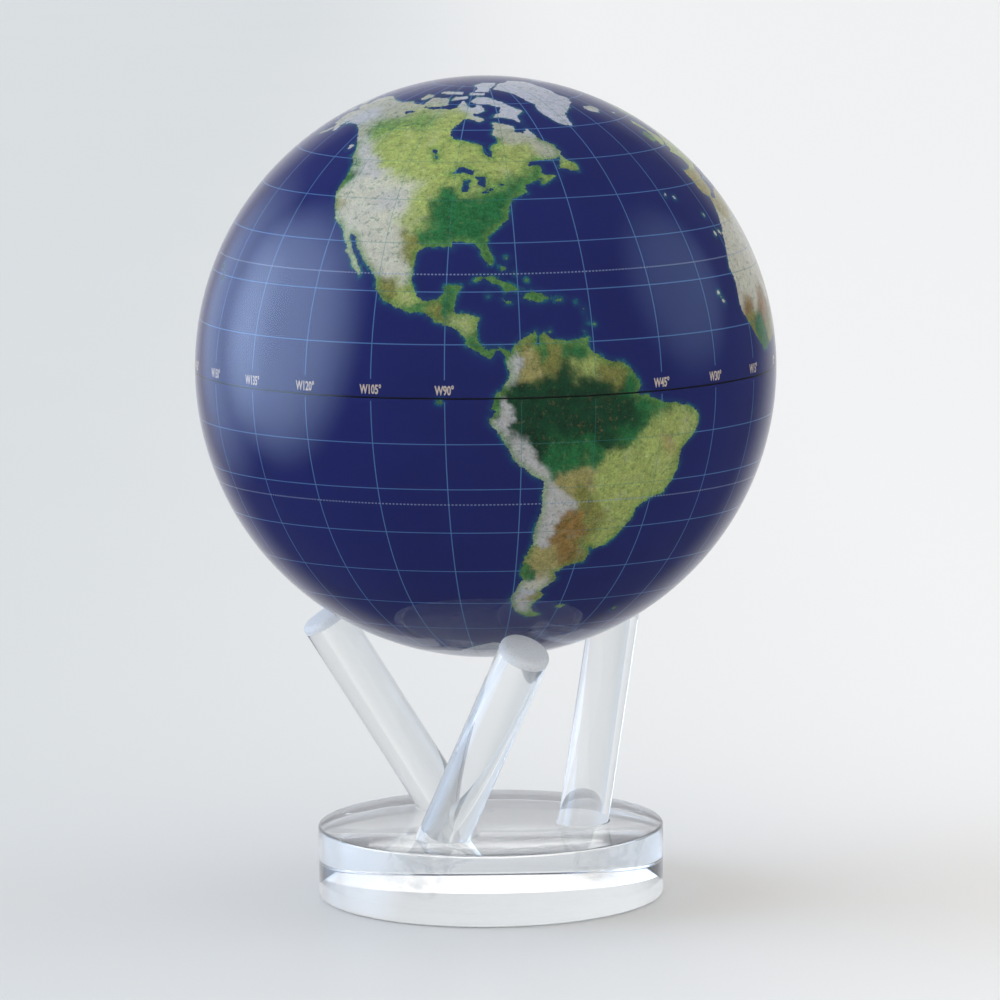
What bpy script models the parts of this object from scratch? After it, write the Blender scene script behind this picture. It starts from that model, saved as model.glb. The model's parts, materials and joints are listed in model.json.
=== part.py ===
"""Light-driven desk globe: a clear, liquid-filled ball that rests loose on three leaning rods.

A printed globe floats inside the ball and turns by itself. Light that falls through its
printed skin feeds a ring of solar cells, the cells feed three drive coils, and the coils
push against two bar magnets that hold to the earth's field like a compass needle.
Metres, +Z up, origin on the table under the centre of the base.
"""

import math

import bmesh
import bpy
from mathutils import Matrix, Vector

# Driving dimensions, in metres
GAP = 0.0003  # between pieces that touch or pass each other

BALL_RADIUS = 0.05715  # a 4.5 inch ball
SHELL_WALL = 0.002
FLUID_DEPTH = 0.00115
MAP_WALL = 0.0016

BASE_RADIUS = 0.0343
BASE_THICKNESS = 0.014
BASE_EDGE = 0.0005
BALL_RISE = 0.0911  # from the top of the base to the centre of the ball

ROD_COUNT = 3
ROD_RADIUS = 0.005
ROD_RIM = 0.0012  # rounding of a rod's upper rim, which carries the ball
ROD_FOOT_RADIUS = 0.0184  # from the centre of the base to a rod's axis, on the top of the base
ROD_FOOT_AZIMUTH = math.radians(-121.4)
ROD_LEAN = math.radians(31.4)  # from upright
ROD_LEAN_AZIMUTH = math.radians(-48.1)
ROD_SUNK = 0.010  # length inside the base

PLUG_RADIUS = 0.004
PLUG_NIB_RADIUS = 0.0015
FLUID_PORT_RADIUS = 0.002

RING_HALF_HEIGHT = 0.004
RING_INNER = 0.0496
LEDGE_INNER = 0.0455
LEDGE_TOP = -0.0023
DECK_RADIUS = 0.0493
DECK_TOP = 0.0
DECK_THICKNESS = 0.002
DECK_SCREW_CIRCLE = 0.0473
SCREW_RADIUS = 0.0008
SCREW_HEAD_RADIUS = 0.0019
SCREW_HEAD_RIM = 0.0010  # height of the head where it is widest
SCREW_CROWN = 0.0003  # rise of the head above its rim
SCREW_REACH = 0.0013  # length of the thread below the top of the ledge
SCREW_POINT = 0.0002
SCREW_BORE = SCREW_RADIUS + GAP
DECK_WINDOW_RADIUS = 0.0075
DECK_WINDOW_CIRCLE = 0.036

BALLAST_TOP = -0.032
CUP_RADIUS = 0.003
CUP_LENGTH = 0.0045
CUP_CONE_RADIUS = 0.0016
CUP_CONE_DEPTH = 0.0012
SHAFT_RADIUS = 0.001
SHAFT_TIP = 0.0012  # length of each pointed end
SHAFT_TIP_SUNK = 0.0009  # how far a point stands inside the mouth of its cup
SHAFT_TOP = -0.0033
SHAFT_BOTTOM = -0.0255
MAGNET_SIZE = Vector((0.036, 0.005, 0.004))
MAGNET_OFFSET = 0.0065
MAGNET_HEIGHT = -0.0130
MAGNET_EDGE = 0.0003
CARRIER_LENGTH = 0.022
CARRIER_MARGIN = 0.001  # of the carrier outside the magnets
CARRIER_THICKNESS = 0.0015
CARRIER_HUB_RADIUS = 0.0032
CARRIER_HUB_HEIGHT = 0.0075
CARRIER_HUB_DROP = 0.002  # of the hub below the carrier
YOKE_SPAN = 0.050
YOKE_FLOOR = -0.0300
YOKE_BAR = Vector((0.003, 0.009, 0.003))

COIL_COUNT = 3
COIL_CIRCLE = 0.0140
COIL_RADIUS = 0.0086
BOBBIN_RADIUS = 0.0090
BOBBIN_CORE = 0.0036
BOBBIN_BORE = 0.0012
BOBBIN_FLANGE = 0.0007
BOBBIN_HEIGHT = 0.0050

CELL_COUNT = 6
CELL_SIZE = Vector((0.001, 0.0310, 0.0250))
CELL_APOTHEM = 0.0340  # from the axis to the back of a side cell
CELL_LOW = 0.0032
CELL_EDGE = 0.0002
FRAME_WALL = 0.002
FRAME_HEIGHT = 0.0285
FRAME_WINDOW_WIDTH = 0.8  # share of a cell's width that is open behind it
FRAME_WINDOW_HEIGHT = 0.7

BOARD_RADIUS = 0.0200
BOARD_LOW = 0.0045
BOARD_THICKNESS = 0.0016
BOARD_POST_CIRCLE = 0.0160
BOARD_POST_RADIUS = 0.0020
CAPACITOR_RADIUS = 0.0063
CAPACITOR_HEIGHT = 0.0125
CAPACITOR_EDGE = 0.0006
CAPACITOR_GROOVE = 0.0005  # depth of the crimp near its foot
CAPACITOR_GROOVE_HEIGHT = 0.0010
CAPACITOR_GROOVE_HALF = 0.0004
CAPACITOR_CIRCLE = 0.0115
CAPACITOR_AZIMUTH = math.radians(150)
CHIP_SIZE = Vector((0.0076, 0.0060, 0.0014))
CHIP_CIRCLE = 0.0110
CHIP_AZIMUTH = math.radians(-30)
CHIP_EDGE = 0.0002
SENSOR_SIZE = Vector((0.0040, 0.0032, 0.0015))
SENSOR_AZIMUTH = math.radians(150)
LEAD_RADIUS = 0.0006
LEAD_POINTS = 9
LEAD_START_HEIGHT = 0.0200
LEAD_BEND_HEIGHT = 0.0215
LEAD_END_CIRCLE = BOARD_RADIUS - 0.0030
LEAD_BEND_CIRCLE = LEAD_END_CIRCLE + 0.0015
LEAD_POSITIVE_AZIMUTH = math.radians(57)
LEAD_NEGATIVE_AZIMUTH = math.radians(63)

SPHERE_STEPS = 36
SPHERE_RING = math.radians(10)  # latitude spacing, the same on every sphere
RING_SLACK = 0.1  # part of a ring that an arc may be longer by before it takes one more
FINE_STEPS = 72
ROD_STEPS = 32
SMALL_STEPS = 20
HOLE_STEPS = 10
RIM_STEPS = 4
SHARP_ANGLE = math.radians(35)
MERGE_DISTANCE = 0.00001
THIRD_TURN = 2 * math.pi / 3

BALL_CENTRE = BASE_THICKNESS + BALL_RISE
SHELL_INNER = BALL_RADIUS - SHELL_WALL
MAP_RADIUS = SHELL_INNER - FLUID_DEPTH
MAP_INNER = MAP_RADIUS - MAP_WALL
ROD_AXIS = Vector(
    (
        math.sin(ROD_LEAN) * math.cos(ROD_LEAN_AZIMUTH),
        math.sin(ROD_LEAN) * math.sin(ROD_LEAN_AZIMUTH),
        math.cos(ROD_LEAN),
    )
)
ROD_FOOT = Vector(
    (
        ROD_FOOT_RADIUS * math.cos(ROD_FOOT_AZIMUTH),
        ROD_FOOT_RADIUS * math.sin(ROD_FOOT_AZIMUTH),
        BASE_THICKNESS,
    )
)


# Scene, collections, materials and parents


def clear_scene():
    for obj in list(bpy.data.objects):
        bpy.data.objects.remove(obj, do_unlink=True)


def new_collection(name):
    collection = bpy.data.collections.new(name)
    bpy.context.scene.collection.children.link(collection)
    return collection


def new_material(name, colour, roughness, metallic=0.0, transmission=0.0, ior=1.49):
    material = bpy.data.materials.new(name)
    material.use_nodes = True
    shader = material.node_tree.nodes["Principled BSDF"]
    shader.inputs["Base Color"].default_value = (*colour, 1.0)
    shader.inputs["Roughness"].default_value = roughness
    shader.inputs["Metallic"].default_value = metallic
    shader.inputs["Transmission Weight"].default_value = transmission
    shader.inputs["IOR"].default_value = ior
    material.diffuse_color = (*colour, 1.0)
    return material


def new_empty(name, height, parent=None):
    """An empty on the vertical axis. Its height is measured from its parent."""
    empty = bpy.data.objects.new(name, None)
    empty.empty_display_size = 0.01
    empty.location = (0, 0, height)
    empty.parent = parent
    PARTS.objects.link(empty)
    return empty


# Shape helpers


def add_object(name, mesh, material=None, parent=None, matrix=None):
    """A part when it has a material, and a hidden cutter when it has none."""
    obj = bpy.data.objects.new(name, mesh)
    mesh.shade_smooth()
    mesh.set_sharp_from_angle(angle=SHARP_ANGLE)
    if material:
        mesh.materials.append(material)
        PARTS.objects.link(obj)
    else:
        CUTTERS.objects.link(obj)
        obj.hide_render = True
        obj.display_type = "WIRE"
    obj.parent = parent
    if matrix is not None:
        obj.matrix_local = matrix
    return obj


def screwed(profile, edges, steps):
    """The mesh that a profile in the XZ plane sweeps in one turn about Z."""
    outline = bpy.data.meshes.new("outline")
    outline.from_pydata([(radius, 0, height) for radius, height in profile], edges, [])
    guide = bpy.data.objects.new("outline", outline)
    bpy.context.scene.collection.objects.link(guide)
    screw = guide.modifiers.new("Turn", "SCREW")
    screw.axis = "Z"
    screw.angle = 2 * math.pi
    screw.steps = steps
    screw.render_steps = steps
    screw.use_merge_vertices = True
    screw.merge_threshold = MERGE_DISTANCE
    depsgraph = bpy.context.evaluated_depsgraph_get()
    mesh = bpy.data.meshes.new_from_object(guide.evaluated_get(depsgraph))
    bpy.data.objects.remove(guide)
    bpy.data.meshes.remove(outline)
    return mesh


def turned(name, profile, steps, material=None, parent=None, closed=False, matrix=None):
    """A turned solid. The profile of (radius, height) runs down the outer side."""
    edges = [(i, i + 1) for i in range(len(profile) - 1)]
    if closed:
        edges.append((len(profile) - 1, 0))
    mesh = screwed(profile, edges, steps)
    mesh.name = name
    return add_object(name, mesh, material, parent, matrix)


def sphere_arc(radius, start, end):
    """Points of a meridian from one latitude to the other, with both ends on it."""
    count = math.ceil(abs(end - start) / SPHERE_RING - RING_SLACK)
    angles = [start + (end - start) * i / count for i in range(count + 1)]
    return [(max(0.0, radius * math.cos(angle)), radius * math.sin(angle)) for angle in angles]


def dome_profile(outer, inner, floor):
    """The upper half of a hollow ball, open at the height of its floor."""
    top = math.pi / 2
    outside = sphere_arc(outer, top, math.asin(floor / outer))
    inside = sphere_arc(inner, math.asin(floor / inner), top)
    return outside + inside


def bowl_profile(outer, inner, ceiling, bore):
    """The lower half of a hollow ball, with a bore at its lowest point unless that is 0."""
    low_out = -math.acos(bore / outer)
    low_in = -math.acos(bore / inner)
    inside = sphere_arc(inner, low_in, -math.asin(ceiling / inner))
    outside = sphere_arc(outer, -math.asin(ceiling / outer), low_out)
    return inside + outside


def box(name, size, centre, material=None, parent=None, edge=0.0, turn=0.0):
    """A block. turn swings it about the vertical axis of its parent."""
    bm = bmesh.new()
    bmesh.ops.create_cube(bm, size=1.0, matrix=Matrix.Diagonal((*size, 1.0)))
    mesh = bpy.data.meshes.new(name)
    bm.to_mesh(mesh)
    bm.free()
    matrix = Matrix.Rotation(turn, 4, "Z") @ Matrix.Translation(centre)
    obj = add_object(name, mesh, material, parent, matrix)
    if edge:
        bevel = obj.modifiers.new("Edges", "BEVEL")
        bevel.width = edge
        bevel.segments = 1
    return obj


def cylinder(name, radius, low, high, steps, material=None, parent=None, centre=(0, 0), matrix=None):
    """An upright cylinder between two heights, moved by matrix when one is given."""
    bm = bmesh.new()
    place = Matrix.Translation((centre[0], centre[1], (low + high) / 2))
    bmesh.ops.create_cone(
        bm, cap_ends=True, segments=steps, radius1=radius, radius2=radius, depth=high - low, matrix=place
    )
    mesh = bpy.data.meshes.new(name)
    bm.to_mesh(mesh)
    bm.free()
    return add_object(name, mesh, material, parent, matrix)


def boolean(obj, other, operation="DIFFERENCE"):
    modifier = obj.modifiers.new(f"{operation.title()} {other.name}", "BOOLEAN")
    modifier.operation = operation
    modifier.solver = "EXACT"
    modifier.object = other


def around(radius, azimuth):
    return radius * math.cos(azimuth), radius * math.sin(azimuth)


# The stand


def rod_length():
    """Length above the base at which the rounded upper rim stands one gap off the ball."""
    to_ball = Vector((0, 0, BALL_CENTRE)) - ROD_FOOT
    along = to_ball.dot(ROD_AXIS)
    across = math.sqrt(to_ball.length_squared - along**2) - (ROD_RADIUS - ROD_RIM)
    reach = BALL_RADIUS + GAP + ROD_RIM
    return along - math.sqrt(reach**2 - across**2) + ROD_RIM


def rod_matrix(index):
    """Rod-local +Z runs up the rod from the point where its axis leaves the base."""
    lean = ROD_AXIS.to_track_quat("Z", "Y").to_matrix().to_4x4()
    turn = Matrix.Rotation(index * THIRD_TURN, 4, "Z")
    return turn @ Matrix.Translation(ROD_FOOT) @ lean


def make_base(parent):
    high = BASE_THICKNESS
    rim = BASE_RADIUS - BASE_EDGE
    profile = [
        (0, high),
        (rim, high),
        (BASE_RADIUS, high - BASE_EDGE),
        (BASE_RADIUS, BASE_EDGE),
        (rim, 0),
        (0, 0),
    ]
    base = turned("stand_base", profile, FINE_STEPS, CLEAR_ACRYLIC, parent)
    for index in range(ROD_COUNT):
        hole = cylinder(
            f"rod_socket_{index + 1}",
            ROD_RADIUS + GAP,
            -ROD_SUNK - GAP,
            4 * ROD_RADIUS,
            ROD_STEPS,
            matrix=rod_matrix(index),
        )
        boolean(base, hole)


def make_rods(parent):
    length = rod_length()
    rim = []
    for step in range(RIM_STEPS + 1):
        angle = math.pi / 2 * (1 - step / RIM_STEPS)
        radius = ROD_RADIUS - ROD_RIM + ROD_RIM * math.cos(angle)
        rim.append((radius, length - ROD_RIM + ROD_RIM * math.sin(angle)))
    profile = [(0, length), *rim, (ROD_RADIUS, -ROD_SUNK), (0, -ROD_SUNK)]
    for index in range(ROD_COUNT):
        place = rod_matrix(index)
        turned(f"stand_rod_{index + 1}", profile, ROD_STEPS, CLEAR_ACRYLIC, parent, matrix=place)


# The ball: two bonded half shells, their fill plug and the fluid


def make_ball(parent):
    seam = GAP / 2
    bore = PLUG_RADIUS + GAP
    dome = dome_profile(BALL_RADIUS, SHELL_INNER, seam)
    turned("outer_shell_upper", dome, SPHERE_STEPS, CLEAR_ACRYLIC, parent)
    bowl = bowl_profile(BALL_RADIUS, SHELL_INNER, seam, bore)
    turned("outer_shell_lower", bowl, SPHERE_STEPS, CLEAR_ACRYLIC, parent, closed=True)
    plug_face = -math.sqrt(BALL_RADIUS**2 - PLUG_RADIUS**2)
    plug_top = -SHELL_INNER + GAP / 2
    nib_top = -MAP_RADIUS - GAP
    plug = [
        (0, nib_top),
        (PLUG_NIB_RADIUS, nib_top),
        (PLUG_NIB_RADIUS, plug_top),
        (PLUG_RADIUS, plug_top),
        (PLUG_RADIUS, plug_face),
        (0, -BALL_RADIUS),
    ]
    turned("fill_plug", plug, SPHERE_STEPS, PLUG_PLASTIC, parent)
    outer = SHELL_INNER - GAP
    inner = MAP_RADIUS + GAP
    top = math.pi / 2
    fluid = sphere_arc(outer, top, -math.acos(FLUID_PORT_RADIUS / outer))
    fluid += sphere_arc(inner, -math.acos(FLUID_PORT_RADIUS / inner), top)
    turned("float_fluid", fluid, SPHERE_STEPS, FLUID, parent)


# The floating globe: printed shells, the ring that joins them, and the ballast


def make_globe_shells(parent):
    seam = GAP / 2
    upper = dome_profile(MAP_RADIUS, MAP_INNER, seam)
    turned("map_shell_north", upper, SPHERE_STEPS, MAP_PRINT, parent)
    lower = [(radius, -height) for radius, height in reversed(upper)]
    turned("map_shell_south", lower, SPHERE_STEPS, MAP_PRINT, parent)

    band = MAP_INNER - GAP
    edge = math.asin(RING_HALF_HEIGHT / band)
    ring = sphere_arc(band, edge, -edge)
    ring += [
        (LEDGE_INNER, -RING_HALF_HEIGHT),
        (LEDGE_INNER, LEDGE_TOP),
        (RING_INNER, LEDGE_TOP),
        (RING_INNER, RING_HALF_HEIGHT),
    ]
    joint_ring = turned("equator_joint_ring", ring, SPHERE_STEPS, DARK_PLASTIC, parent, closed=True)
    for index in range(ROD_COUNT):
        hole = cylinder(
            f"ledge_hole_{index + 1}",
            SCREW_BORE,
            -2 * RING_HALF_HEIGHT,
            RING_HALF_HEIGHT,
            HOLE_STEPS,
            parent=parent,
            centre=around(DECK_SCREW_CIRCLE, index * THIRD_TURN),
        )
        boolean(joint_ring, hole)

    bowl = MAP_INNER - GAP
    ballast = [(0, BALLAST_TOP), *sphere_arc(bowl, math.asin(BALLAST_TOP / bowl), -math.pi / 2)]
    turned("ballast_weight", ballast, SPHERE_STEPS, CAST_STEEL, parent)


def make_deck(parent):
    """The round plate across the globe that everything electrical stands on."""
    low = DECK_TOP - DECK_THICKNESS
    bore = CUP_RADIUS + GAP
    profile = [(bore, DECK_TOP), (DECK_RADIUS, DECK_TOP), (DECK_RADIUS, low), (bore, low)]
    deck = turned("drive_deck", profile, SPHERE_STEPS, DARK_PLASTIC, parent, closed=True)
    for index in range(ROD_COUNT):
        azimuth = index * THIRD_TURN
        screw_place = around(DECK_SCREW_CIRCLE, azimuth)
        hole = cylinder(
            f"deck_hole_{index + 1}",
            SCREW_BORE,
            2 * low,
            -low,
            HOLE_STEPS,
            parent=parent,
            centre=screw_place,
        )
        boolean(deck, hole)
        window = cylinder(
            f"deck_window_{index + 1}",
            DECK_WINDOW_RADIUS,
            2 * low,
            -low,
            SMALL_STEPS,
            parent=parent,
            centre=around(DECK_WINDOW_CIRCLE, azimuth),
        )
        boolean(deck, window)
        post = cylinder(
            f"board_post_{index + 1}",
            BOARD_POST_RADIUS,
            low / 2,
            BOARD_LOW - GAP,
            HOLE_STEPS,
            parent=parent,
            centre=around(BOARD_POST_CIRCLE, azimuth),
        )
        boolean(deck, post, "UNION")
        head = DECK_TOP + GAP
        tip = LEDGE_TOP - SCREW_REACH
        screw = [
            (0, head + SCREW_HEAD_RIM + SCREW_CROWN),
            (SCREW_HEAD_RADIUS, head + SCREW_HEAD_RIM),
            (SCREW_HEAD_RADIUS, head),
            (SCREW_RADIUS, head),
            (SCREW_RADIUS, tip),
            (0, tip - SCREW_POINT),
        ]
        place = Matrix.Translation((*screw_place, 0))
        turned(f"deck_screw_{index + 1}", screw, HOLE_STEPS, BRIGHT_STEEL, parent, matrix=place)


# The electrical drive


def make_cells(parent):
    """Six upright solar cells on a six-sided frame, and one more flat on its top."""
    sides = CELL_COUNT
    apothem = CELL_APOTHEM - GAP
    corner = 1 / math.cos(math.pi / sides)
    half_side = Matrix.Rotation(math.pi / sides, 4, "Z")
    low = DECK_TOP + GAP
    profile = [
        (apothem * corner, low + FRAME_HEIGHT),
        (apothem * corner, low),
        ((apothem - FRAME_WALL) * corner, low),
        ((apothem - FRAME_WALL) * corner, low + FRAME_HEIGHT),
    ]
    frame = turned("cell_frame", profile, sides, DARK_PLASTIC, parent, closed=True, matrix=half_side)
    centre = Vector((CELL_APOTHEM + CELL_SIZE.x / 2, 0, CELL_LOW + CELL_SIZE.z / 2))
    for index in range(CELL_COUNT):
        turn = index * 2 * math.pi / CELL_COUNT
        box(f"solar_cell_{index + 1}", CELL_SIZE, centre, SOLAR_CELL, parent, edge=CELL_EDGE, turn=turn)
        width = FRAME_WINDOW_WIDTH * CELL_SIZE.y
        opening = Vector((4 * FRAME_WALL, width, FRAME_WINDOW_HEIGHT * CELL_SIZE.z))
        window = box(f"frame_window_{index + 1}", opening, centre, parent=parent, turn=turn)
        boolean(frame, window)
    low = low + FRAME_HEIGHT + GAP
    high = low + CELL_SIZE.x
    plate = [(0, high), (apothem * corner, high), (apothem * corner, low), (0, low)]
    turned("solar_cell_top", plate, sides, SOLAR_CELL, parent, matrix=half_side)


def make_board(parent):
    top = BOARD_LOW + BOARD_THICKNESS
    profile = [
        (CUP_RADIUS, top),
        (BOARD_RADIUS, top),
        (BOARD_RADIUS, BOARD_LOW),
        (CUP_RADIUS, BOARD_LOW),
    ]
    turned("control_board", profile, SPHERE_STEPS, BOARD_GREEN, parent, closed=True)
    seat = top + GAP
    high = seat + CAPACITOR_HEIGHT
    groove = seat + CAPACITOR_GROOVE_HEIGHT
    can = [
        (0, high),
        (CAPACITOR_RADIUS - CAPACITOR_EDGE, high),
        (CAPACITOR_RADIUS, high - CAPACITOR_EDGE),
        (CAPACITOR_RADIUS, groove + CAPACITOR_GROOVE_HALF),
        (CAPACITOR_RADIUS - CAPACITOR_GROOVE, groove),
        (CAPACITOR_RADIUS, groove - CAPACITOR_GROOVE_HALF),
        (CAPACITOR_RADIUS, seat),
        (0, seat),
    ]
    place = Matrix.Translation((*around(CAPACITOR_CIRCLE, CAPACITOR_AZIMUTH), 0))
    turned("storage_capacitor", can, SMALL_STEPS, CAPACITOR_SLEEVE, parent, matrix=place)
    chip_centre = Vector((*around(CHIP_CIRCLE, CHIP_AZIMUTH), seat + CHIP_SIZE.z / 2))
    box("driver_chip", CHIP_SIZE, chip_centre, CHIP_BLACK, parent, edge=CHIP_EDGE)
    below = DECK_TOP - DECK_THICKNESS - GAP - SENSOR_SIZE.z / 2
    sensor_centre = Vector((COIL_CIRCLE, 0, below))
    box("field_sensor", SENSOR_SIZE, sensor_centre, CHIP_BLACK, parent, edge=CHIP_EDGE, turn=SENSOR_AZIMUTH)


def make_leads(parent):
    """Two insulated wires from the back of a cell, through its window, down to the board."""
    start_circle = CELL_APOTHEM - 2 * GAP
    low = BOARD_LOW + BOARD_THICKNESS + GAP + LEAD_RADIUS
    for name, azimuth, material in (
        ("cell_lead_positive", LEAD_POSITIVE_AZIMUTH, LEAD_RED),
        ("cell_lead_negative", LEAD_NEGATIVE_AZIMUTH, LEAD_BLACK),
    ):
        start = Vector((*around(start_circle, azimuth), LEAD_START_HEIGHT))
        bend = Vector((*around(LEAD_BEND_CIRCLE, azimuth), LEAD_BEND_HEIGHT))
        end = Vector((*around(LEAD_END_CIRCLE, azimuth), low))
        curve = bpy.data.curves.new(name, "CURVE")
        curve.dimensions = "3D"
        curve.bevel_depth = LEAD_RADIUS
        curve.bevel_resolution = 1
        curve.use_fill_caps = True
        spline = curve.splines.new("POLY")
        spline.points.add(LEAD_POINTS - 1)
        for index, point in enumerate(spline.points):
            share = index / (LEAD_POINTS - 1)
            place = start.lerp(bend, share).lerp(bend.lerp(end, share), share)
            point.co = (*place, 1.0)
        lead = bpy.data.objects.new(name, curve)
        curve.materials.append(material)
        PARTS.objects.link(lead)
        lead.parent = parent


def make_coils(parent):
    """Three flat coils on bobbins, hung under the deck round the rotor's axis."""
    high = DECK_TOP - DECK_THICKNESS - GAP
    low = high - BOBBIN_HEIGHT
    bobbin = [
        (BOBBIN_RADIUS, high),
        (BOBBIN_RADIUS, high - BOBBIN_FLANGE),
        (BOBBIN_CORE, high - BOBBIN_FLANGE),
        (BOBBIN_CORE, low + BOBBIN_FLANGE),
        (BOBBIN_RADIUS, low + BOBBIN_FLANGE),
        (BOBBIN_RADIUS, low),
        (BOBBIN_BORE, low),
        (BOBBIN_BORE, high),
    ]
    coil_high = high - BOBBIN_FLANGE - GAP
    coil_low = low + BOBBIN_FLANGE + GAP
    inner = BOBBIN_CORE + GAP
    coil = [(COIL_RADIUS, coil_high), (COIL_RADIUS, coil_low), (inner, coil_low), (inner, coil_high)]
    for index in range(COIL_COUNT):
        azimuth = math.pi / 2 + index * THIRD_TURN
        place = Matrix.Translation((*around(COIL_CIRCLE, azimuth), 0))
        number = index + 1
        turned(f"coil_bobbin_{number}", bobbin, SMALL_STEPS, PALE_PLASTIC, parent, closed=True, matrix=place)
        turned(f"drive_coil_{number}", coil, SMALL_STEPS, COPPER, parent, closed=True, matrix=place)


# The compass rotor and what it turns in


def cup_profile(mouth, back):
    """A bearing cup between two heights, with a cone sunk in its mouth."""
    floor = mouth + CUP_CONE_DEPTH if back > mouth else mouth - CUP_CONE_DEPTH
    profile = [(0, back), (CUP_RADIUS, back), (CUP_RADIUS, mouth), (CUP_CONE_RADIUS, mouth), (0, floor)]
    return profile if back > mouth else profile[::-1]


def make_bearings(parent):
    mouth = SHAFT_TOP - SHAFT_TIP_SUNK
    turned("bearing_cup_upper", cup_profile(mouth, mouth + CUP_LENGTH), SMALL_STEPS, JEWEL, parent)
    mouth = SHAFT_BOTTOM + SHAFT_TIP_SUNK
    turned("bearing_cup_lower", cup_profile(mouth, mouth - CUP_LENGTH), SMALL_STEPS, JEWEL, parent)

    bar = YOKE_BAR
    high = DECK_TOP - DECK_THICKNESS - GAP
    floor = Vector((YOKE_SPAN, bar.y, bar.z))
    yoke = box("rotor_yoke", floor, Vector((0, 0, YOKE_FLOOR + bar.z / 2)), BRASS, parent)
    for side in (-1, 1):
        arm = Vector((bar.x, bar.y, high - YOKE_FLOOR))
        centre = Vector((side * (YOKE_SPAN - bar.x) / 2, 0, (high + YOKE_FLOOR) / 2))
        name = "left" if side < 0 else "right"
        boolean(yoke, box(f"yoke_arm_{name}", arm, centre, parent=parent), "UNION")
    radius = CUP_RADIUS + GAP
    bore = cylinder("yoke_bore", radius, 2 * YOKE_FLOOR, YOKE_FLOOR / 2, SMALL_STEPS, parent=parent)
    boolean(yoke, bore)


def make_rotor(parent):
    shaft = [
        (0, SHAFT_TOP),
        (SHAFT_RADIUS, SHAFT_TOP - SHAFT_TIP),
        (SHAFT_RADIUS, SHAFT_BOTTOM + SHAFT_TIP),
        (0, SHAFT_BOTTOM),
    ]
    turned("rotor_shaft", shaft, SMALL_STEPS, BRIGHT_STEEL, parent)
    plate_low = MAGNET_HEIGHT - MAGNET_SIZE.z / 2 - GAP - CARRIER_THICKNESS
    width = 2 * (MAGNET_OFFSET + MAGNET_SIZE.y / 2 + CARRIER_MARGIN)
    plate = Vector((CARRIER_LENGTH, width, CARRIER_THICKNESS))
    plate_centre = Vector((0, 0, plate_low + CARRIER_THICKNESS / 2))
    carrier = box("magnet_carrier", plate, plate_centre, DARK_PLASTIC, parent)
    hub_low = plate_low - CARRIER_HUB_DROP
    hub_high = hub_low + CARRIER_HUB_HEIGHT
    hub = cylinder("carrier_hub", CARRIER_HUB_RADIUS, hub_low, hub_high, SMALL_STEPS, parent=parent)
    boolean(carrier, hub, "UNION")
    bore = cylinder("carrier_bore", SHAFT_RADIUS + GAP, 2 * plate_low, 0.0, SMALL_STEPS, parent=parent)
    boolean(carrier, bore)
    for index, side in enumerate((-1, 1)):
        centre = Vector((0, side * MAGNET_OFFSET, MAGNET_HEIGHT))
        box(f"compass_magnet_{index + 1}", MAGNET_SIZE, centre, MAGNET_COAT, parent, edge=MAGNET_EDGE)


clear_scene()
PARTS = new_collection("desktop_globe_on_stand")
CUTTERS = new_collection("cutters")

CLEAR_ACRYLIC = new_material("clear_acrylic", (0.93, 0.97, 0.98), 0.02, transmission=1.0)
FLUID = new_material("clear_fluid", (0.97, 0.98, 0.99), 0.0, transmission=1.0, ior=1.44)
PLUG_PLASTIC = new_material("plug_plastic", (0.90, 0.93, 0.95), 0.15, transmission=0.6)
MAP_PRINT = new_material("map_print", (0.030, 0.035, 0.20), 0.35)
DARK_PLASTIC = new_material("dark_plastic", (0.03, 0.03, 0.035), 0.5)
PALE_PLASTIC = new_material("pale_plastic", (0.75, 0.74, 0.70), 0.45)
CAST_STEEL = new_material("cast_steel", (0.35, 0.36, 0.37), 0.55, metallic=1.0)
BRIGHT_STEEL = new_material("bright_steel", (0.65, 0.66, 0.68), 0.25, metallic=1.0)
BRASS = new_material("brass", (0.72, 0.55, 0.26), 0.3, metallic=1.0)
COPPER = new_material("copper_wire", (0.70, 0.33, 0.18), 0.35, metallic=1.0)
SOLAR_CELL = new_material("solar_cell", (0.02, 0.03, 0.10), 0.2)
BOARD_GREEN = new_material("board_green", (0.03, 0.17, 0.07), 0.4)
CHIP_BLACK = new_material("chip_black", (0.015, 0.015, 0.015), 0.4)
CAPACITOR_SLEEVE = new_material("capacitor_sleeve", (0.04, 0.06, 0.20), 0.35)
MAGNET_COAT = new_material("magnet_coat", (0.55, 0.55, 0.56), 0.25, metallic=1.0)
JEWEL = new_material("jewel", (0.50, 0.03, 0.06), 0.1, transmission=0.5, ior=1.77)
LEAD_RED = new_material("lead_red", (0.55, 0.02, 0.02), 0.4)
LEAD_BLACK = new_material("lead_black", (0.02, 0.02, 0.02), 0.4)

stand_origin = new_empty("stand_origin", 0.0)
ball_lift = new_empty("ball_lift", BALL_CENTRE)
globe_spin = new_empty("globe_spin", 0.0, ball_lift)
compass_spin = new_empty("compass_spin", 0.0, globe_spin)

make_base(stand_origin)
make_rods(stand_origin)
make_ball(ball_lift)
make_globe_shells(globe_spin)
make_deck(globe_spin)
make_cells(globe_spin)
make_board(globe_spin)
make_leads(globe_spin)
make_coils(globe_spin)
make_bearings(globe_spin)
make_rotor(compass_spin)
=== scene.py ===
"""The looks of the desk globe: clear ball, printed map, acrylic stand, light and camera.

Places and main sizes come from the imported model. Small ones, such as bevels, are named here.
Metres, +Z up, origin on the table under the centre of the base. Longitudes and latitudes are
in degrees, east and north positive.
"""

import json
import math

import bmesh
import bpy
import numpy as np
from mathutils import Matrix, Vector, noise


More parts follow.
